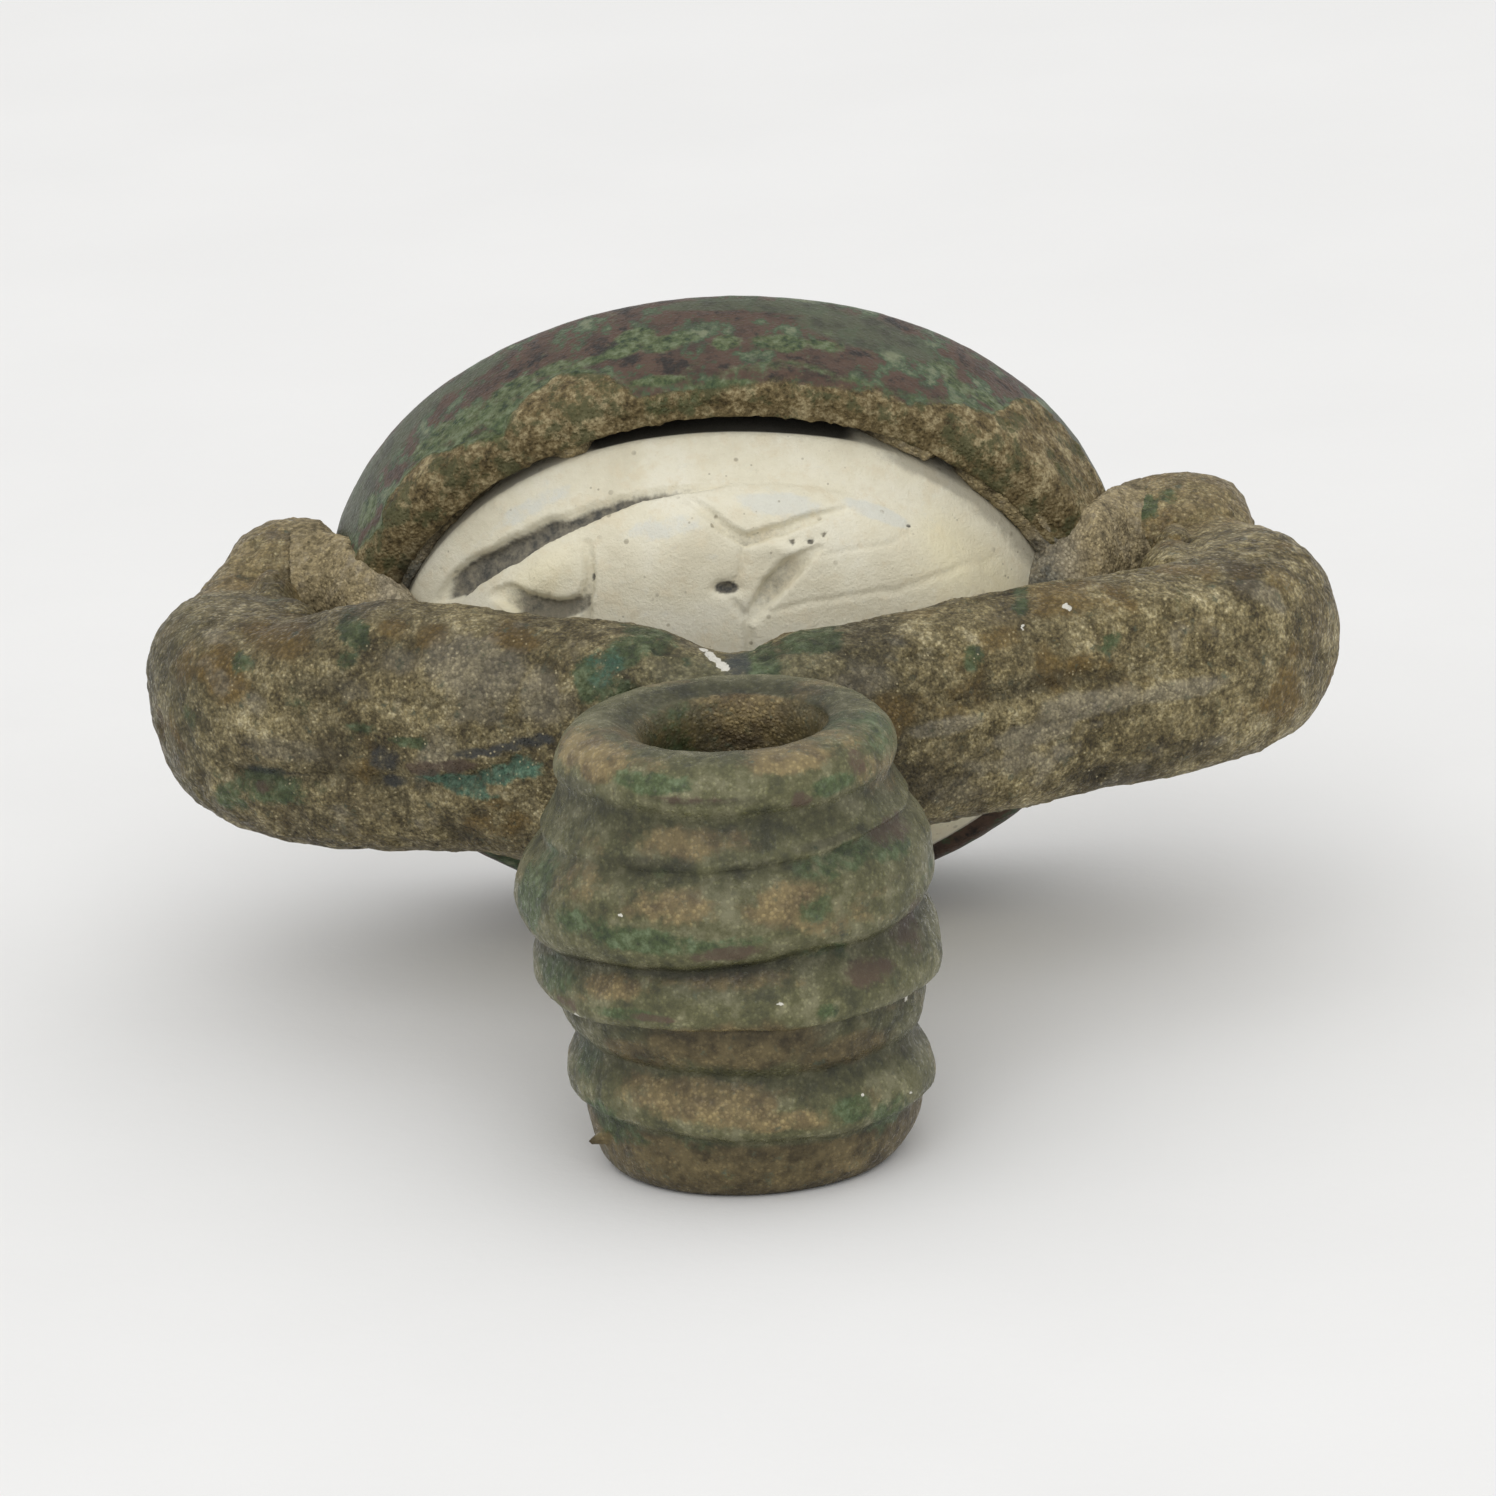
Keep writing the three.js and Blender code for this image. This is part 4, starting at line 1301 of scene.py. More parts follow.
    def build(self, datum: Datum) -> bpy.types.Object:
        """Builds and weathers the tube.

        Args:
            datum: Shared datum.

        Returns:
            The tube, in place.
        """
        grain = Grain(self.seed)
        profile, outside = self.outline()
        radius, level = profile.T
        turn = full_turn(self.columns)
        free = ease(level, self.foot_level, self.foot_level + 1.0) * (1.0 - ease(level, 1.5, 2.2))
        free[outside:] = 0.0
        tilt = height_at(self.tilts, level)
        lean = height_at(self.leans, level) * (np.arange(len(level)) < outside)
        loops = np.empty((len(turn), len(profile), 3))
        for row, t in enumerate(turn):
            ahead, aside = (np.full(len(level), 4.0 * way) for way in (math.cos(t), math.sin(t)))
            wave = np.stack([ahead, aside, level], axis=1)
            slip = tilt * math.cos(t) + 0.10 * grain.waves(wave, 2.4)
            wide = radius + free * 0.07 * grain.waves(wave + 31.0, 1.7)
            loops[row] = np.stack([
                lean + wide * math.cos(t), self.tube_y + wide * math.sin(t), level + free * slip], axis=1)
        cast = Cast.plain(Skin.from_loops(loops, rows_close=True))
        angle = np.degrees(np.repeat(turn, len(profile)))
        plain = np.tile(level, len(turn))
        inside = np.tile(np.arange(len(profile)) >= outside, len(turn))
        masks = painted(np.stack([angle, plain], axis=1), cast.points, self.marks, grain)
        masks = {name: np.where(inside, 0.0, cover) for name, cover in masks.items()}
        base = (1.0 - ease(plain, -5.85, -5.55)) * ~inside
        sandy = inside * hump(angle, 78.0, 32.0) * ease(plain, 0.2, 1.0)
        rough = np.maximum.reduce([0.7 * masks["tan"] * (plain < -0.2), sandy, 0.12 * np.ones(len(angle))])
        rough = rough * (1.0 - 0.8 * base)
        grit = 0.05 * (grain.domes(cast.points, 0.2, 0.3, 0.9) + grain.layered(cast.points + 80.0, 0.32, 3))
        soft = 0.035 * grain.layered(cast.points, 1.1, 3) + 0.014 * grain.layered(cast.points + 20.0, 0.3, 2)
        height = soft * (1.0 - 0.5 * base) + rough * grit + 0.10 * sandy
        height += 0.42 * hump(angle, 204.0, 1.6) * hump(plain, -6.2, 0.07)
        p = cast.pushed(np.where(plain < self.foot_level + 0.05, 0.0, height))
        p[:, 2] = np.maximum(p[:, 2], self.foot_level)
        # hollow: how far the outside lies in from its smoothed outline, deepest in the creases between the
        # ribs
        width = np.convolve(np.pad(radius[:outside], 12, mode="edge"), np.full(25, 0.04), mode="valid")
        hollow = np.concatenate([width - radius[:outside], np.zeros(len(profile) - outside)])
        streak = grain.layered(cast.points * np.array([0.5, 0.5, 1.5]) + 300.0, 1.0, 4)
        masks["tan"] = np.maximum.reduce([masks["tan"], 0.55 * ease(streak, 0.12, 0.6) * ~inside, sandy])
        masks["green"] = np.maximum(
            masks["green"], np.where(inside, 0.5 * hump(angle, 130.0, 25.0), 0.6 * ease(-streak, 0.30, 0.8)))
        masks["bare"] = np.maximum.reduce([masks["bare"], base, inside * 0.6])
        # painted shade inside the bore, darker further down
        masks["dark"] = np.maximum(masks["dark"], inside * (1.0 - ease(plain, 0.6, 1.9)) * 0.9)
        masks["calm"] = np.clip(1.0 - 0.3 * rough - 0.6 * sandy, 0.0, 1.0)
        # rise is painted light and shade: darker in the creases, lighter where the crust stands up
        masks["rise"] = 0.46 - 1.5 * np.tile(hollow, len(turn)) + 1.8 * height
        return cast.piece("cord_tube", datum.from_hoop(p), masks)


# --- collar -----------------------------------------------------------------


@dataclass
class Collar:
    """Oval bronze collar round the stone, open at its ends for the pivots.

    Places are (x, across, towards the seal face) in millimetres.
    """

    seed: int = 23
    voxel: float = 0.078
    half_length: float = 8.5
    half_width: float = 6.95
    half_height: float = 1.85
    wall: float = 1.0
    end_wall: float = 1.1
    hole_radius: float = 0.95
    crust_edge: Path = (
        (0, -0.2), (8, 1.4), (14, 2.1), (170, 2.1), (182, 1.4), (190, 1.2), (205, 1.3), (211, 1.5),
        (214, 1.05), (223, 0.85), (227, 1.1), (233, 1.5), (237, 1.55), (240, 1.15), (243, 0.8), (247, 0.55),
        (250, 0.65), (255, 1.05), (258, 1.55), (261, 1.88), (266, 1.88), (271, 1.5), (275, 1.36), (279, 1.16),
        (283, 1.18), (287, 1.4), (296, 1.38), (300, 1.5), (305, 1.2), (308, 0.97), (313, 0.85), (316, 0.2),
        (319, -0.5), (323, -1.0), (335, -0.9), (350, -0.6), (360, -0.4))
    fringe: Path = (
        (0, 0.2), (190, 0.4), (205, 0.7), (212, 1.0), (240, 1.0), (252, 0.9), (256, 0.5), (270, 0.45),
        (280, 0.6), (292, 0.55), (300, 0.4), (306, 0.7), (316, 0.6), (322, 0.2), (360, 0.2))
    crust_bulk: Path = (
        (0, 0.05), (190, 0.04), (210, 0.05), (225, 0.07), (245, 0.06), (258, 0.03), (268, 0.01), (295, 0.02),
        (310, 0.03), (330, 0.04), (360, 0.05))

    def ring(self) -> Skin:
        """Returns the plain oval ring."""
        h = self.half_height
        knots = np.array([
            (1.0, h - 0.12), (0.72, h - 0.02), (0.45, h), (0.14, h - 0.3), (0.02, h - 0.95), (0.0, 0.1),
            (0.03, -0.75), (0.14, -h + 0.35), (0.45, -h), (0.72, -h + 0.02), (1.0, -h + 0.1), (1.0, 0.0)])
        profile = self.rounded(knots, 6)
        turn = full_turn(360)
        loops = np.empty((len(turn), len(profile), 3))
        for row, t in enumerate(turn):
            inset = profile[:, 0] * mixed(self.wall, self.end_wall, math.cos(t) ** 6)
            along, across = (self.half_length - inset) * math.cos(t), (self.half_width - inset) * math.sin(t)
            loops[row] = np.stack([along, across, profile[:, 1]], axis=1)
        return Skin.from_loops(loops, rows_close=True)

    @staticmethod
    def rounded(knots: Array, steps: int) -> Array:
        """Rounds a closed profile.

        Args:
            knots: Corner points of the profile.
            steps: Points for each side.

        Returns:
            The rounded profile.
        """
        out = []
        for i in range(len(knots)):
            a, b, c, d = (knots[(i + k) % len(knots)] for k in (-1, 0, 1, 2))
            for t in np.linspace(0.0, 1.0, steps, endpoint=False):
                curve = (2 * a - 5 * b + 4 * c - d) * t**2 + (3 * b - a - 3 * c + d) * t**3
                out.append(0.5 * (2 * b + (c - a) * t + curve))
        return np.array(out)

    def pivot_holes(self) -> Skin:
        """Returns the bars that open both pivot holes."""
        turn = full_turn(48)
        bars = []
        for side in Side:
            across, level = self.hole_radius * np.cos(turn), self.hole_radius * np.sin(turn)
            loops = np.array([
                np.stack([np.full(len(turn), side.value * x), across, level], axis=1)
                for x in (self.half_length - 1.4, self.half_length + 1.0)])
            bars.append(Skin.from_loops(loops))
        return Skin.joined(bars)

    def round_ring(self, places: Sequence[tuple[float, float, float, float]]) -> list[Stain]:
        """Lays patches on the outer face.

        Args:
            places: Angle in degrees, level from the middle, reach along the ring and reach in level.

        Returns:
            The patches.
        """
        stains = []
        for angle, level, reach, rise in places:
            t = math.radians(angle)
            at = (self.half_length * math.cos(t), self.half_width * math.sin(t), -level)
            stains.append(Stain(at, (reach, reach, rise)))
        return stains

    def green_stains(self) -> list[Stain]:
        """Returns the green patches."""
        return self.round_ring((
            (223, 0.55, 0.4, 0.3), (227, 0.6, 0.5, 0.5), (232, 0.75, 0.6, 0.65), (237, 0.85, 0.6, 0.7),
            (241, 0.45, 0.6, 0.42), (246, 0.3, 0.6, 0.25), (252, 0.45, 0.5, 0.2), (257, 0.35, 0.5, 0.3),
            (259, -0.1, 0.5, 0.35), (263, 0.35, 0.6, 0.4), (266, 0.2, 0.4, 0.3), (272, 0.5, 0.35, 0.3),
            (280, 0.45, 0.7, 0.35), (286, 0.4, 0.5, 0.25), (305, 0.0, 0.4, 0.35), (307, 0.4, 0.4, 0.3),
            (312, 0.4, 0.5, 0.25), (316, 0.5, 0.3, 0.25), (262, 1.5, 0.7, 0.16), (272, 1.7, 0.7, 0.12),
            (20, 0.4, 1.2, 0.6), (75, -0.6, 1.0, 0.6), (140, 0.2, 1.3, 0.6), (208, 0.6, 0.5, 0.5)))

    def grey_stains(self) -> list[Stain]:
        """Returns the patches of grey-green skin."""
        return self.round_ring((
            (203, -0.4, 1.4, 1.0), (213, -0.7, 1.4, 0.7), (222, -1.0, 1.2, 0.5), (232, -1.0, 1.2, 0.35),
            (272, -1.1, 1.4, 0.35), (282, -1.0, 1.4, 0.4), (291, -0.5, 1.5, 0.8), (298, -0.3, 1.0, 0.6),
            (340, -1.2, 1.6, 0.6), (60, 0.0, 3.0, 1.2)))

    def build(self, datum: Datum) -> bpy.types.Object:
        """Builds and weathers the collar.

        Args:
            datum: Shared datum.

        Returns:
            The collar, in place.
        """
        cast = Cast.fused(self.ring(), self.voxel, self.pivot_holes(), smooth=3)
        grain = Grain(self.seed)
        x, q, n = cast.points.T
        level = -n
        angle = np.degrees(np.arctan2(q / self.half_width, x / self.half_length)) % 360.0
        outward = np.hypot(x / self.half_length, q / self.half_width)
        outer = ease(outward, 0.86, 0.90)
        ragged = level + 0.16 * grain.layered(cast.points, 0.9, 4)
        ragged = ragged + 0.10 * grain.layered(cast.points + 30.0, 0.3, 2)
        start = height_at(self.crust_edge, angle)
        flat = ease(level, 1.68, 1.82) * ease(-q, -1.2, 0.2)
        blur = mixed(0.12, 0.55, hump(angle, 277.0, 20.0))
        crust = np.maximum(ease((ragged - start) / blur, -0.4, 1.0) * outer, flat)
        soft = 0.03 * grain.layered(cast.points, 1.8, 3) + 0.010 * grain.layered(cast.points + 9.0, 0.4, 2)
        grit = 0.045 * grain.domes(cast.points, 0.2, 0.2, 0.9)
        grit += 0.04 * grain.layered(cast.points + 80.0, 0.5, 3)
        bulk = height_at(self.crust_bulk, angle)
        raised = crust * (bulk * (1.0 + 0.8 * grain.layered(cast.points + 50.0, 0.9, 3)) + grit)
        height = soft + raised
        p = datum.from_seal(cast.pushed(height))
        p[:, 2] = np.maximum(p[:, 2], 0.0)
        sparse = 0.55 * ease(grain.layered(cast.points + 200.0, 1.0, 4), 0.2, 0.75)
        worn = 0.55 * hump(angle, 276.0, 22.0) * (1.0 - ease(level, 1.55, 1.85))
        masks = {
            "crust": crust * (1.0 - worn * (1.0 + grain.layered(cast.points + 70.0, 0.6, 3))),
            "patina": np.maximum(stained(cast.points, self.green_stains(), grain), sparse),
            "grey": stained(cast.points, self.grey_stains(), grain),
            "fringe": hump(ragged - start, 0.0, 0.17) * height_at(self.fringe, angle) * outer,
            # rise is painted light and shade, lighter on the bumps of skin and crust
            "rise": 0.55 + 3.0 * (soft + crust * grit),
            "shade": np.maximum(
                (1.0 - ease(outward, 0.855, 0.885)) * (1.0 - ease(level, 1.74, 1.86)),
                0.75 * (1.0 - ease(outward, 0.87, 0.94)) * hump(angle, 204.0, 11.0)),
        }
        return cast.piece("collar_bronze", p, masks)


# --- scarab -----------------------------------------------------------------


@dataclass(frozen=True)
class CarvedLine:
    """One carved line, as knots of place along and across, half width and depth."""

    knots: tuple[tuple[float, float, float, float], ...]
    soil: float = 0.6

    def cut(self, places: Array) -> Array:
        """Returns the depth of the line at each place."""
        knots = np.array(self.knots)
        steps = np.linalg.norm(np.diff(knots[:, :2], axis=0), axis=1)
        marks = np.concatenate([[0.0], np.cumsum(steps)]) / steps.sum()
        away, along = path_distance(places, tuple(map(tuple, knots[:, :2])))
        width = np.interp(along, marks, knots[:, 2])
        return np.interp(along, marks, knots[:, 3]) * (1.0 - ease(away, 0.55 * width, 1.1 * width))


@dataclass
class Scarab:
    """Carved pale scarab: a domed beetle's back over a flat seal face.

    Places are (x, across, towards the seal face) in millimetres. On the back, a
    place is (x, way up from the widest oval along the surface).
    """

    seed: int = 37
    stroke_seed: int = 5
    voxel: float = 0.068
    half_length: float = STONE_HALF_LENGTH
    half_width: float = STONE_HALF_WIDTH
    face_level: float = 1.95
    back_level: float = 5.2
    lip: float = 1.85
    plinth_inset: float = 0.65
    plinth_level: float = 2.75
    lip_loss: float = 0.12
    lines: tuple[CarvedLine, ...] = (
        CarvedLine((
            (-6.05, 0.64, 0.10, 0.08), (-5.65, 0.80, 0.24, 0.26), (-5.25, 0.97, 0.29, 0.32),
            (-4.9, 1.10, 0.32, 0.34), (-4.2, 1.25, 0.34, 0.34), (-3.8, 1.27, 0.32, 0.33),
            (-3.1, 1.30, 0.27, 0.30), (-2.4, 1.30, 0.25, 0.26), (-1.6, 1.26, 0.19, 0.22),
            (-0.9, 1.25, 0.17, 0.16), (-0.3, 1.27, 0.13, 0.11), (0.1, 1.2, 0.06, 0.04)), 1.0),
        CarvedLine((
            (0.1, 1.2, 0.06, 0.02), (1.8, 1.1, 0.06, 0.018), (3.25, 1.0, 0.05, 0.018),
            (4.5, 0.78, 0.05, 0.012)), 0.0),
        CarvedLine(((-0.65, 1.6, 0.10, 0.06), (-0.05, 2.24, 0.13, 0.13), (0.46, 2.6, 0.15, 0.20)), 0.55),
        CarvedLine((
            (0.46, 2.6, 0.15, 0.20), (1.23, 2.32, 0.14, 0.18), (1.93, 1.97, 0.12, 0.14),
            (2.65, 1.58, 0.08, 0.05)), 0.5),
        CarvedLine((
            (0.46, 2.62, 0.07, 0.07), (0.36, 3.2, 0.07, 0.07), (0.1, 3.8, 0.07, 0.07), (0.4, 4.25, 0.09, 0.1),
            (0.45, 5.0, 0.12, 0.14), (0.45, 7.1, 0.13, 0.14)), 0.3),
        CarvedLine((
            (0.5, 4.2, 0.14, 0.12), (0.97, 3.58, 0.26, 0.28), (1.39, 3.1, 0.24, 0.24),
            (2.0, 2.6, 0.10, 0.06)), 0.42),
        CarvedLine((
            (-2.84, 2.0, 0.10, 0.06), (-2.82, 2.7, 0.14, 0.16), (-2.98, 3.1, 0.18, 0.20),
            (-3.05, 4.5, 0.14, 0.16), (-3.1, 7.1, 0.14, 0.14)), 0.45),
        CarvedLine((
            (-4.9, 1.75, 0.08, 0.06), (-4.57, 2.0, 0.15, 0.16), (-3.95, 2.68, 0.24, 0.28),
            (-3.5, 2.95, 0.22, 0.28), (-2.99, 3.12, 0.18, 0.22)), 0.75),
        CarvedLine(((1.69, 2.94, 0.05, 0.018), (3.49, 2.05, 0.05, 0.02), (4.5, 1.1, 0.04, 0.01)), 0.0),
        CarvedLine((
            (0.95, 4.06, 0.06, 0.025), (2.24, 3.54, 0.06, 0.03), (3.63, 2.83, 0.06, 0.03),
            (4.65, 2.0, 0.06, 0.025), (5.78, 0.72, 0.05, 0.015)), 0.05),
    )
    swells: tuple[tuple[float, float, float, float, float], ...] = (
        (-1.3, 2.6, 1.5, 0.9, 0.10), (-3.65, 2.2, 0.6, 0.4, 0.16), (-4.8, 2.2, 0.7, 0.4, 0.10),
        (1.3, 2.75, 0.6, 0.2, 0.10))
    glazes: tuple[Stain, ...] = (
        Stain((1.3, 1.75, 0.0), (1.1, 0.36, 1.0)), Stain((3.3, 1.42, 0.0), (0.75, 0.25, 1.0)),
        Stain((-1.2, 2.2, 0.0), (1.1, 0.3, 1.0), 0.65), Stain((-4.0, 0.55, 0.0), (1.2, 0.25, 1.0), 0.6))
    pits: tuple[tuple[float, float, float, float], ...] = (
        (0.04, 3.59, 0.26, 0.14), (1.46, 2.56, 0.07, 0.07), (1.81, 2.49, 0.06, 0.05),
        (2.11, 2.31, 0.05, 0.05), (-2.75, 2.7, 0.06, 0.06), (3.9, 1.46, 0.05, 0.04))

    def back(self, inset: Array) -> Array:
        """Returns the level of the uncarved back at each inset."""
        slope = mixed(self.lip, self.plinth_level, np.clip(inset / self.plinth_inset, 0.0, 1.0))
        out = np.clip((self.half_width - inset) / (self.half_width - self.plinth_inset), 0.0, 1.0)
        return slope + (self.back_level - self.plinth_level) * (1.0 - out**2.6) ** 0.6

    def way_up(self, inset: Array) -> Array:
        """Returns the way along the surface from the widest oval to each inset."""
        steps = np.linspace(0.0, self.half_width, 800)
        run = np.concatenate([[0.0], np.cumsum(np.hypot(np.diff(steps), np.diff(self.back(steps))))])
        return np.interp(inset, steps, run)

    def blank(self) -> Skin:
        """Returns the uncarved stone."""
        face = self.face_level
        sides = np.array([(0.22, face), (0.06, face - 0.06), (0.0, face - 0.25), (0.0, -1.25)])
        inner = 0.66 + 4.9 * np.linspace(0.0, 1.0, 70)[1:] ** 1.5
        insets = np.concatenate([np.linspace(0.0, 0.66, 14), inner])
        rows = np.vstack([sides, np.stack([insets, -self.back(insets)], axis=1)])
        turn = full_turn(240)
        loops = np.empty((len(rows), len(turn), 3))
        for row, (inset, level) in enumerate(rows):
            share = 1.0 - inset / self.half_width
            along, across = self.half_length * share * np.cos(turn), self.half_width * share * np.sin(turn)
            loops[row] = np.stack([along, across, np.full(len(turn), level)], axis=1)
        return Skin.from_loops(loops)

    def strokes(self) -> list[CarvedLine]:
        """Returns the rows of plain strokes on the seal face, as (x, across) paths."""
        draw = np.random.default_rng(self.stroke_seed)
        lines = []
        for row, across in enumerate((-2.6, -0.9, 0.9, 2.6)):
            reach = 4.9 - 0.45 * abs(across)
            for x in np.arange(-reach, reach + 0.1, 1.15):
                tilt, half = draw.uniform(-0.25, 0.25), draw.uniform(0.35, 0.62)
                if (row + int(x * 3.0)) % 3 == 0:
                    ends = ((x - half, across + tilt), (x + half, across - tilt))
                else:
                    ends = ((x - tilt, across - half), (x + tilt, across + half))
                lines.append(CarvedLine(tuple((*end, 0.15, 0.12) for end in ends)))
        return lines

    def build(self, datum: Datum) -> bpy.types.Object:
        """Builds and carves the scarab.

        Args:
            datum: Shared datum.

        Returns:
            The scarab, in place.
        """
        cast = Cast.fused(self.blank(), self.voxel, smooth=2)
        grain = Grain(self.seed)
        p = cast.points
        x, q, n = p.T
        share = np.hypot(x / self.half_length, q / self.half_width)
        inset = self.half_width * (1.0 - share)
        on_back = ease(-n, 1.2, 1.7)
        upper = ease(-q, -0.6, 0.6)
        warp = 0.05 * np.stack([grain.layered(p, 0.5, 3), grain.layered(p + 21.0, 0.5, 3)], axis=1)
        places = np.stack([x, self.way_up(inset)], axis=1) + warp
        depth, soil = np.zeros(len(p)), np.zeros(len(p))
        for line in self.lines:
            cut = line.cut(places) * on_back
            depth = np.maximum(depth, cut)
            soil = np.maximum(soil, line.soil * ease(cut, 0.08, 0.26))
        median = (1.0 - ease(np.abs(q + warp[:, 0]), 0.05, 0.14)) * ease(x, 0.4, 0.7) * on_back
        depth = np.maximum(depth, 0.14 * median)
        soil = np.maximum(soil, 0.4 * median)
        for along, up, reach, rise in self.pits:
            pit = hump(places[:, 0], along, reach) * hump(places[:, 1], up, rise) * on_back * upper
            depth = np.maximum(depth, min(0.2, reach) * pit)
            soil = np.maximum(soil, ease(pit, 0.2, 0.6))
        swell = sum(
            lift * hump(x, along, reach) * hump(places[:, 1], up, rise)
            for along, up, reach, rise, lift in self.swells)
        on_face = ease(n, 1.75, 1.9)
        rim = np.abs(share - 0.88) * self.half_width
        face_cut = 0.12 * (1.0 - ease(rim, 0.05, 0.16))
        for stroke in self.strokes():
            face_cut = np.maximum(face_cut, stroke.cut(np.stack([x, q], axis=1)))
        wear = 0.02 * grain.layered(p + 60.0, 1.6, 3) + 0.008 * grain.layered(p + 90.0, 0.35, 2)
        lower = ease(q, 1.0, 3.2)
        lip = upper * hump(x, 0.5, 2.5) * ease(share, 0.84, 0.97)
        legs = 0.5 * lower * ease(-n, 1.5, 1.9) * (1.0 - ease(-n, 2.2, 2.9))
        height = wear + on_back * swell - depth - on_face * face_cut + legs
        tint = ease(x + 0.9 * grain.layered(p, 2.0, 3), 3.2, 6.0) * ease(places[:, 1], 0.3, 1.2)
        tint = np.maximum(tint, 0.7 * hump(x, -4.0, 0.9) * hump(places[:, 1], 2.3, 0.6)) * on_back
        flank = np.stack([x, places[:, 1], np.zeros(len(p))], axis=1)
        glaze = stained(flank, self.glazes, grain) * on_back
        edge = ease(share, 0.955, 0.99) * (1.0 - ease(-n, 1.95, 2.3))
        edge = edge * (1.0 - upper * (1.0 - ease(x, 2.8, 4.2)))
        # side_wall: the stone's side wall just below the lip on the upper side; wall, its middle part, is
        # painted shade that goes nearly black in the gap under the collar
        side_wall = ease(share, 0.92, 0.95) * (1.0 - ease(-n, 1.70, 1.84)) * ease(-n, 0.2, 0.9) * upper
        wall = side_wall * ease(x, -3.4, -2.2) * (1.0 - ease(x, 2.2, 3.6))
        end = 0.7 * ease(share, 0.94, 0.985) * ease(x, 4.0, 5.6) * (1.0 - ease(-n, 2.3, 2.9))
        recess = soil * hump(x, -3.6, 0.8) * hump(places[:, 1], 2.9, 0.4)
        smear = 0.55 * ease(grain.layered(p + 140.0, 1.3, 4), 0.2, 0.7) * (1.0 - 0.6 * upper)
        masks = {
            "soil": np.maximum(soil, on_face * 0.7 * ease(face_cut, 0.04, 0.1)),
            "tint": tint,
            "glaze": glaze,
            # painted shade on the side wall under the collar's lip
            "deep_shade": wall,
            "film": np.maximum.reduce([edge, end, 0.9 * side_wall - wall, recess, smear]),
        }
        places = cast.pushed(height)
        places[:, 1] += self.lip_loss * lip
        return cast.piece("scarab_stone", datum.from_seal(places), masks)


# --- earth ------------------------------------------------------------------


@dataclass(frozen=True)
class Mound:
    """One mound of earth over a joint.

    Its rings are (distance from the middle, radius, forward lean), from the knob inward.
    """

    name: str
    side: Side
    seed: int
    ash: float
    rings: tuple[Point, ...]


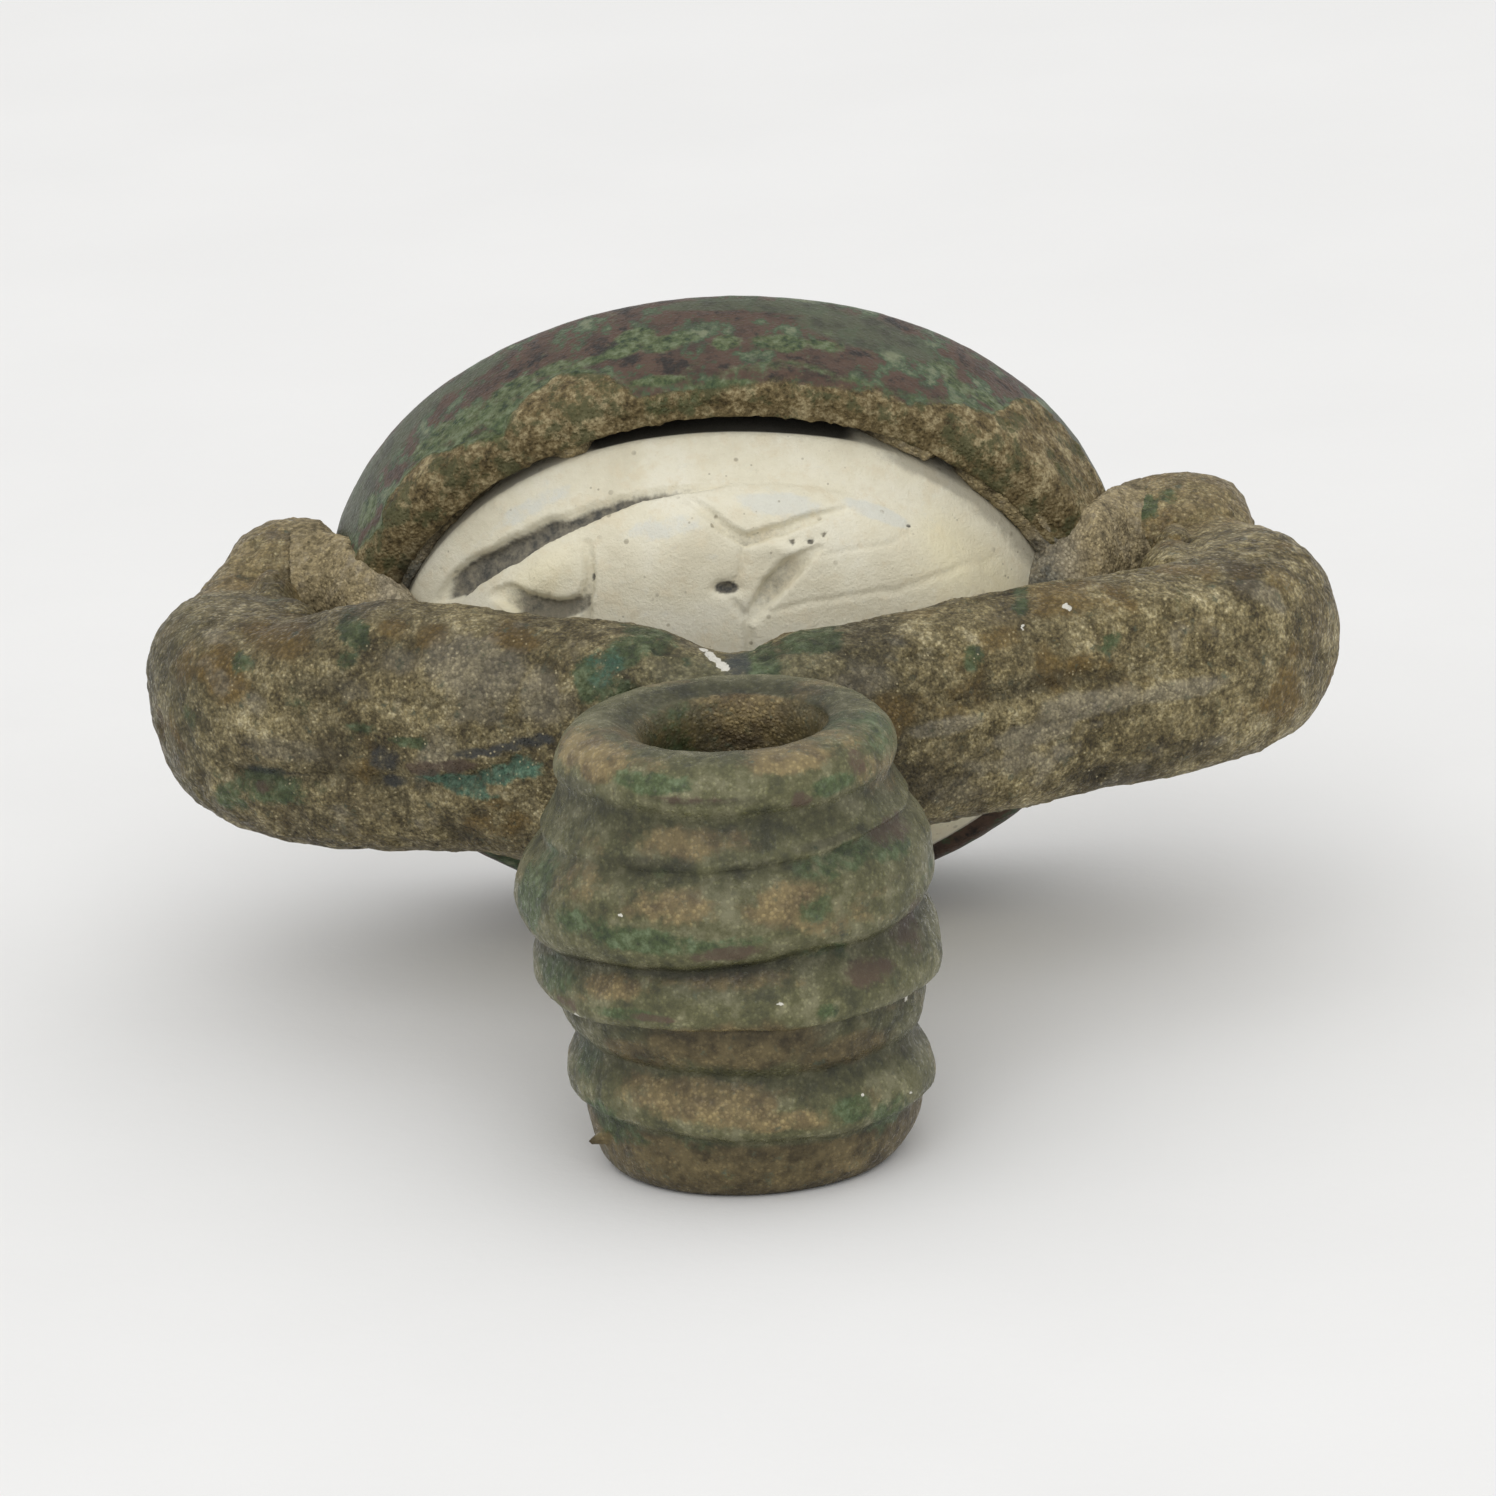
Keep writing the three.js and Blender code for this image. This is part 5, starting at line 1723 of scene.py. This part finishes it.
@dataclass
class Earth:
    """Old earth between stone and collar, and over the joints.

    Places are (x, across, towards the seal face) in millimetres, as for the collar.
    """

    ring_seed: int = 41
    ring_edge: Path = (
        (0, 1.75), (60, 1.5), (150, 1.5), (190, 1.7), (205, 1.72), (215, 1.58), (228, 1.44), (240, 1.44),
        (244, 1.76), (247, 1.84), (249, 1.5), (252, 0.9), (260, 0.6), (285, 0.6), (291, 1.1), (297, 1.45),
        (301, 1.68), (304, 1.8), (307, 1.84), (309, 1.5), (311, 1.2), (313, 1.2), (315, 1.6), (318, 1.85),
        (340, 1.95), (360, 1.75))
    ring_cover: Path = (
        (0, 0.0), (188, 0.0), (196, 0.8), (208, 0.8), (216, 0.0), (296, 0.0), (304, 1.0), (308, 0.7),
        (312, 0.2), (318, 1.0), (342, 1.0), (352, 0.0), (360, 0.0))
    face_reach: float = 8.79
    skirt_reach: float = 9.22
    skirt_radius: float = 2.18
    squash: float = 0.72
    toward_viewer: tuple[float, float] = (-0.566, -0.825)
    mounds: tuple[Mound, ...] = (
        Mound("earth_left_joint", Side.LEFT, 53, 0.1, (
            (8.79, 1.9, 0.0), (8.79, 2.2, 0.0), (9.2, 2.26, 0.0), (8.98, 2.32, 0.0), (8.57, 2.25, 0.2),
            (8.3, 2.0, 0.75), (7.93, 1.78, 1.6), (7.52, 1.45, 2.35), (6.94, 0.85, 2.65), (6.47, 0.3, 2.85))),
        Mound("earth_right_joint", Side.RIGHT, 57, 0.5, (
            (8.79, 1.8, 0.0), (8.79, 2.12, 0.0), (9.15, 2.2, 0.0), (8.95, 2.25, 0.0), (8.6, 2.16, 0.35),
            (8.35, 2.0, 1.0), (7.9, 1.8, 2.2), (7.4, 1.6, 2.2), (6.9, 1.3, 2.2), (6.5, 0.9, 2.25),
            (6.2, 0.4, 2.3))))

    def ring(self, datum: Datum) -> bpy.types.Object:
        """Builds the earth packed between the stone and the collar.

        Args:
            datum: Shared datum.

        Returns:
            The ring of earth, in place.
        """
        grain = Grain(self.ring_seed)
        turn = full_turn(720)
        section = full_turn(28)
        angle = np.degrees(turn)
        top = height_at(self.ring_edge, angle)
        wide = height_at(self.ring_cover, angle)
        across, upright = (np.sign(way) * np.abs(way) ** 0.4 for way in (np.cos(section), np.sin(section)))
        loops = np.empty((len(turn), len(section), 3))
        for row, t in enumerate(turn):
            out = 0.15 + 0.2 * wide[row] + (0.22 + 0.2 * wide[row]) * across
            rise = mixed(-1.5, top[row], 0.5 + 0.5 * upright)
            x, y = (STONE_HALF_LENGTH + out) * math.cos(t), (STONE_HALF_WIDTH + out) * math.sin(t)
            loops[row] = np.stack([x, y, -rise], axis=1)
        cast = Cast.plain(Skin.from_loops(loops, rows_close=True))
        height = 0.07 * grain.layered(cast.points, 0.8, 3) + 0.03 * grain.layered(cast.points + 9.0, 0.25, 2)
        slate = np.repeat(0.7 * hump(angle, 203.0, 10.0) + 0.6 * hump(angle, 337.0, 5.0), len(section))
        ash = 0.4 * ease(grain.layered(cast.points + 30.0, 1.4, 2), 0.2, 0.6) + slate
        # painted shade: darker where the earth lies low in the gap under the collar's lip
        deep_shade = 1.0 - ease(np.repeat(top, len(section)), 1.15, 1.85)
        # rise is painted light and shade on the lumps and dips of the ring
        covers = {"ash": ash, "brown": 0.85 - slate, "rise": 0.5 + 3.0 * height, "deep_shade": deep_shade}
        return cast.piece("earth_ring", datum.from_seal(cast.pushed(height)), covers)

    def joint(self, mound: Mound, datum: Datum) -> bpy.types.Object:
        """Builds the mound of earth over one end of the collar.

        Args:
            mound: The mound's sizes.
            datum: Shared datum.

        Returns:
            The mound, in place, with its skirt on the rim of the knob.
        """
        table = np.array(mound.rings)
        run = np.linspace(0.0, 1.0, 72)
        marks = np.linspace(0.0, 1.0, len(table))
        turn = full_turn(200)
        loops = np.empty((len(run), len(turn), 3))
        for row, share in enumerate(run):
            x, radius, lean = (np.interp(share, marks, table[:, i]) for i in range(3))
            ahead = lean + radius * mixed(self.squash, 1.0, ease(x, 7.2, 8.4)) * np.cos(turn)
            upward = radius * np.sin(turn)
            across, level = self.toward_viewer
            loops[row] = np.stack([
                np.full(len(turn), mound.side.value * x), across * ahead - level * upward,
                level * ahead + across * upward], axis=1)
        cast = Cast.plain(Skin.from_loops(loops))
        grain = Grain(mound.seed)
        p = cast.points
        nearest, value = grain.cells(p, 0.24)
        rough = 0.10 * grain.layered(p, 1.3, 4) + 0.035 * grain.layered(p + 12.0, 0.3, 3)
        rough = rough + 0.04 * ease(0.6 - nearest, 0.0, 0.5) * value
        collar_side = 1.0 - 0.6 * ease(np.abs(p[:, 0]), 8.4, 8.7)
        places = cast.pushed(rough * collar_side)
        on_skirt = np.hypot(p[:, 1], p[:, 2]) > self.skirt_radius
        reach = np.where(on_skirt, self.skirt_reach, self.face_reach)
        places[:, 0] = np.clip(places[:, 0], -reach, reach)
        inner = 1.0 - ease(np.abs(p[:, 0]), 6.9, 8.0)
        brown = np.clip(1.0 - inner + 0.3 * grain.layered(p + 15.0, 0.9, 2), 0.0, 1.0)
        covers = {
            "ash": mound.ash * inner + 0.35 * grain.layered(p + 5.0, 0.9, 2),
            "brown": brown * (1.0 - 0.5 * mound.ash),
            # rise is painted light and shade on the lumps and dips, with painted shade beside the knob to
            # match its shaded corner
            "rise": 0.5 + 2.0 * rough - 0.14 * ease(np.abs(p[:, 0]), 8.0, 8.9),
        }
        return cast.piece(mound.name, datum.from_seal(places), covers)


# --- studio -----------------------------------------------------------------


@dataclass
class Studio:
    """Pale floor, soft light and the camera at the photograph's angle."""

    target: Point = (0.0, 4.0, 0.0)
    distance: float = 255.0
    elevation: float = 17.5
    roll: float = 2.95
    image_pixels: float = 1496.0
    focal_pixels: float = 12260.0
    target_right: float = -17.0
    target_up: float = 45.0
    sensor: float = 36.0
    floor_half: float = 1.5
    floor_steps: int = 12
    light_aim: Point = (0.0, 0.0, 0.006)
    fill: Colour = (1.0, 0.995, 0.985)
    fill_strength: float = 0.85

    def floor(self) -> bpy.types.Object:
        """Returns the floor."""
        count = self.floor_steps + 1
        steps = np.linspace(-self.floor_half, self.floor_half, count)
        points = [(x, y, 0.0) for y in steps for x in steps]
        corners = [j * count + i for j in range(self.floor_steps) for i in range(self.floor_steps)]
        faces = [(k, k + 1, k + count + 1, k + count) for k in corners]
        mesh = bpy.data.meshes.new("floor")
        mesh.from_pydata(points, [], faces)
        mesh.materials.append(PaleFloor().material())
        made = placed("floor", mesh)
        return made

    def softbox(self, name: str, at: Point, size: float, power: float) -> None:
        """Hangs one square soft light that faces the ring.

        Args:
            name: Name of the light.
            at: Its place in metres.
            size: Its side in metres.
            power: Its power in watts.
        """
        light = bpy.data.lights.new(name, "AREA")
        light.shape, light.size, light.energy = "SQUARE", size, power
        made = placed(name, light)
        made.location = at
        made.rotation_euler = (Vector(self.light_aim) - Vector(at)).to_track_quat("-Z", "Y").to_euler()

    def light(self) -> None:
        """Lights the scene from above, with a weaker fill all round."""
        self.softbox("top_light", (0.0, 0.02, 0.42), 0.6, 0.32)
        self.softbox("front_light", (-0.03, -0.44, 0.38), 0.42, 0.80)
        world = bpy.data.worlds.new("studio")
        world.use_nodes = True
        glow = world.node_tree.nodes["Background"]
        glow.inputs["Color"].default_value = (*self.fill, 1.0)
        glow.inputs["Strength"].default_value = self.fill_strength
        bpy.context.scene.world = world

    def camera(self, datum: Datum) -> None:
        """Sets the camera.

        Args:
            datum: Shared datum.
        """
        tilt, roll = math.radians(self.elevation), math.radians(self.roll)
        ahead = Vector((0.0, math.cos(tilt), -math.sin(tilt)))
        level_up = Vector((0.0, math.sin(tilt), math.cos(tilt)))
        level_right = Vector((1.0, 0.0, 0.0))
        right = level_right * math.cos(roll) - level_up * math.sin(roll)
        up = level_up * math.cos(roll) + level_right * math.sin(roll)
        pixel = self.distance / self.focal_pixels * MM
        aim = Vector(datum.from_hoop(np.array([self.target]))[0])
        aim -= right * self.target_right * pixel + up * self.target_up * pixel
        lens = bpy.data.cameras.new("camera")
        lens.sensor_fit, lens.sensor_width = "HORIZONTAL", self.sensor
        lens.lens = self.focal_pixels / self.image_pixels * self.sensor
        lens.clip_start, lens.clip_end = 0.01, 10.0
        made = placed("camera", lens)
        turn = Matrix((right, up, -ahead)).transposed().to_4x4()
        made.matrix_world = Matrix.Translation(aim - ahead * self.distance * MM) @ turn
        bpy.context.scene.camera = made

    def build(self, datum: Datum) -> None:
        """Sets the floor, lights and camera."""
        self.floor()
        self.light()
        self.camera(datum)
        bpy.context.scene.view_settings.view_transform = "Standard"


def main() -> None:
    """Builds the pieces in order."""
    logging.basicConfig(level=logging.INFO, format="%(name)s: %(message)s")
    datum = Datum.read()
    bronze = CrustedBronze()
    dress(Hoop().build(datum), bronze, Body.HOOP, "hoop")
    dress(CordTube().build(datum), bronze, Body.HOOP, "hoop")
    dress(Collar().build(datum), CollarBronze(), Body.SEAL, "collar")
    dress(Scarab().build(datum), PaleStone(), Body.SEAL, "scarab")
    earth, packed = Earth(), PackedEarth()
    dress(earth.ring(datum), packed, Body.SEAL)
    for mound in earth.mounds:
        dress(earth.joint(mound, datum), packed, Body.SEAL)
    Studio().build(datum)


if __name__ == "__main__":
    main()
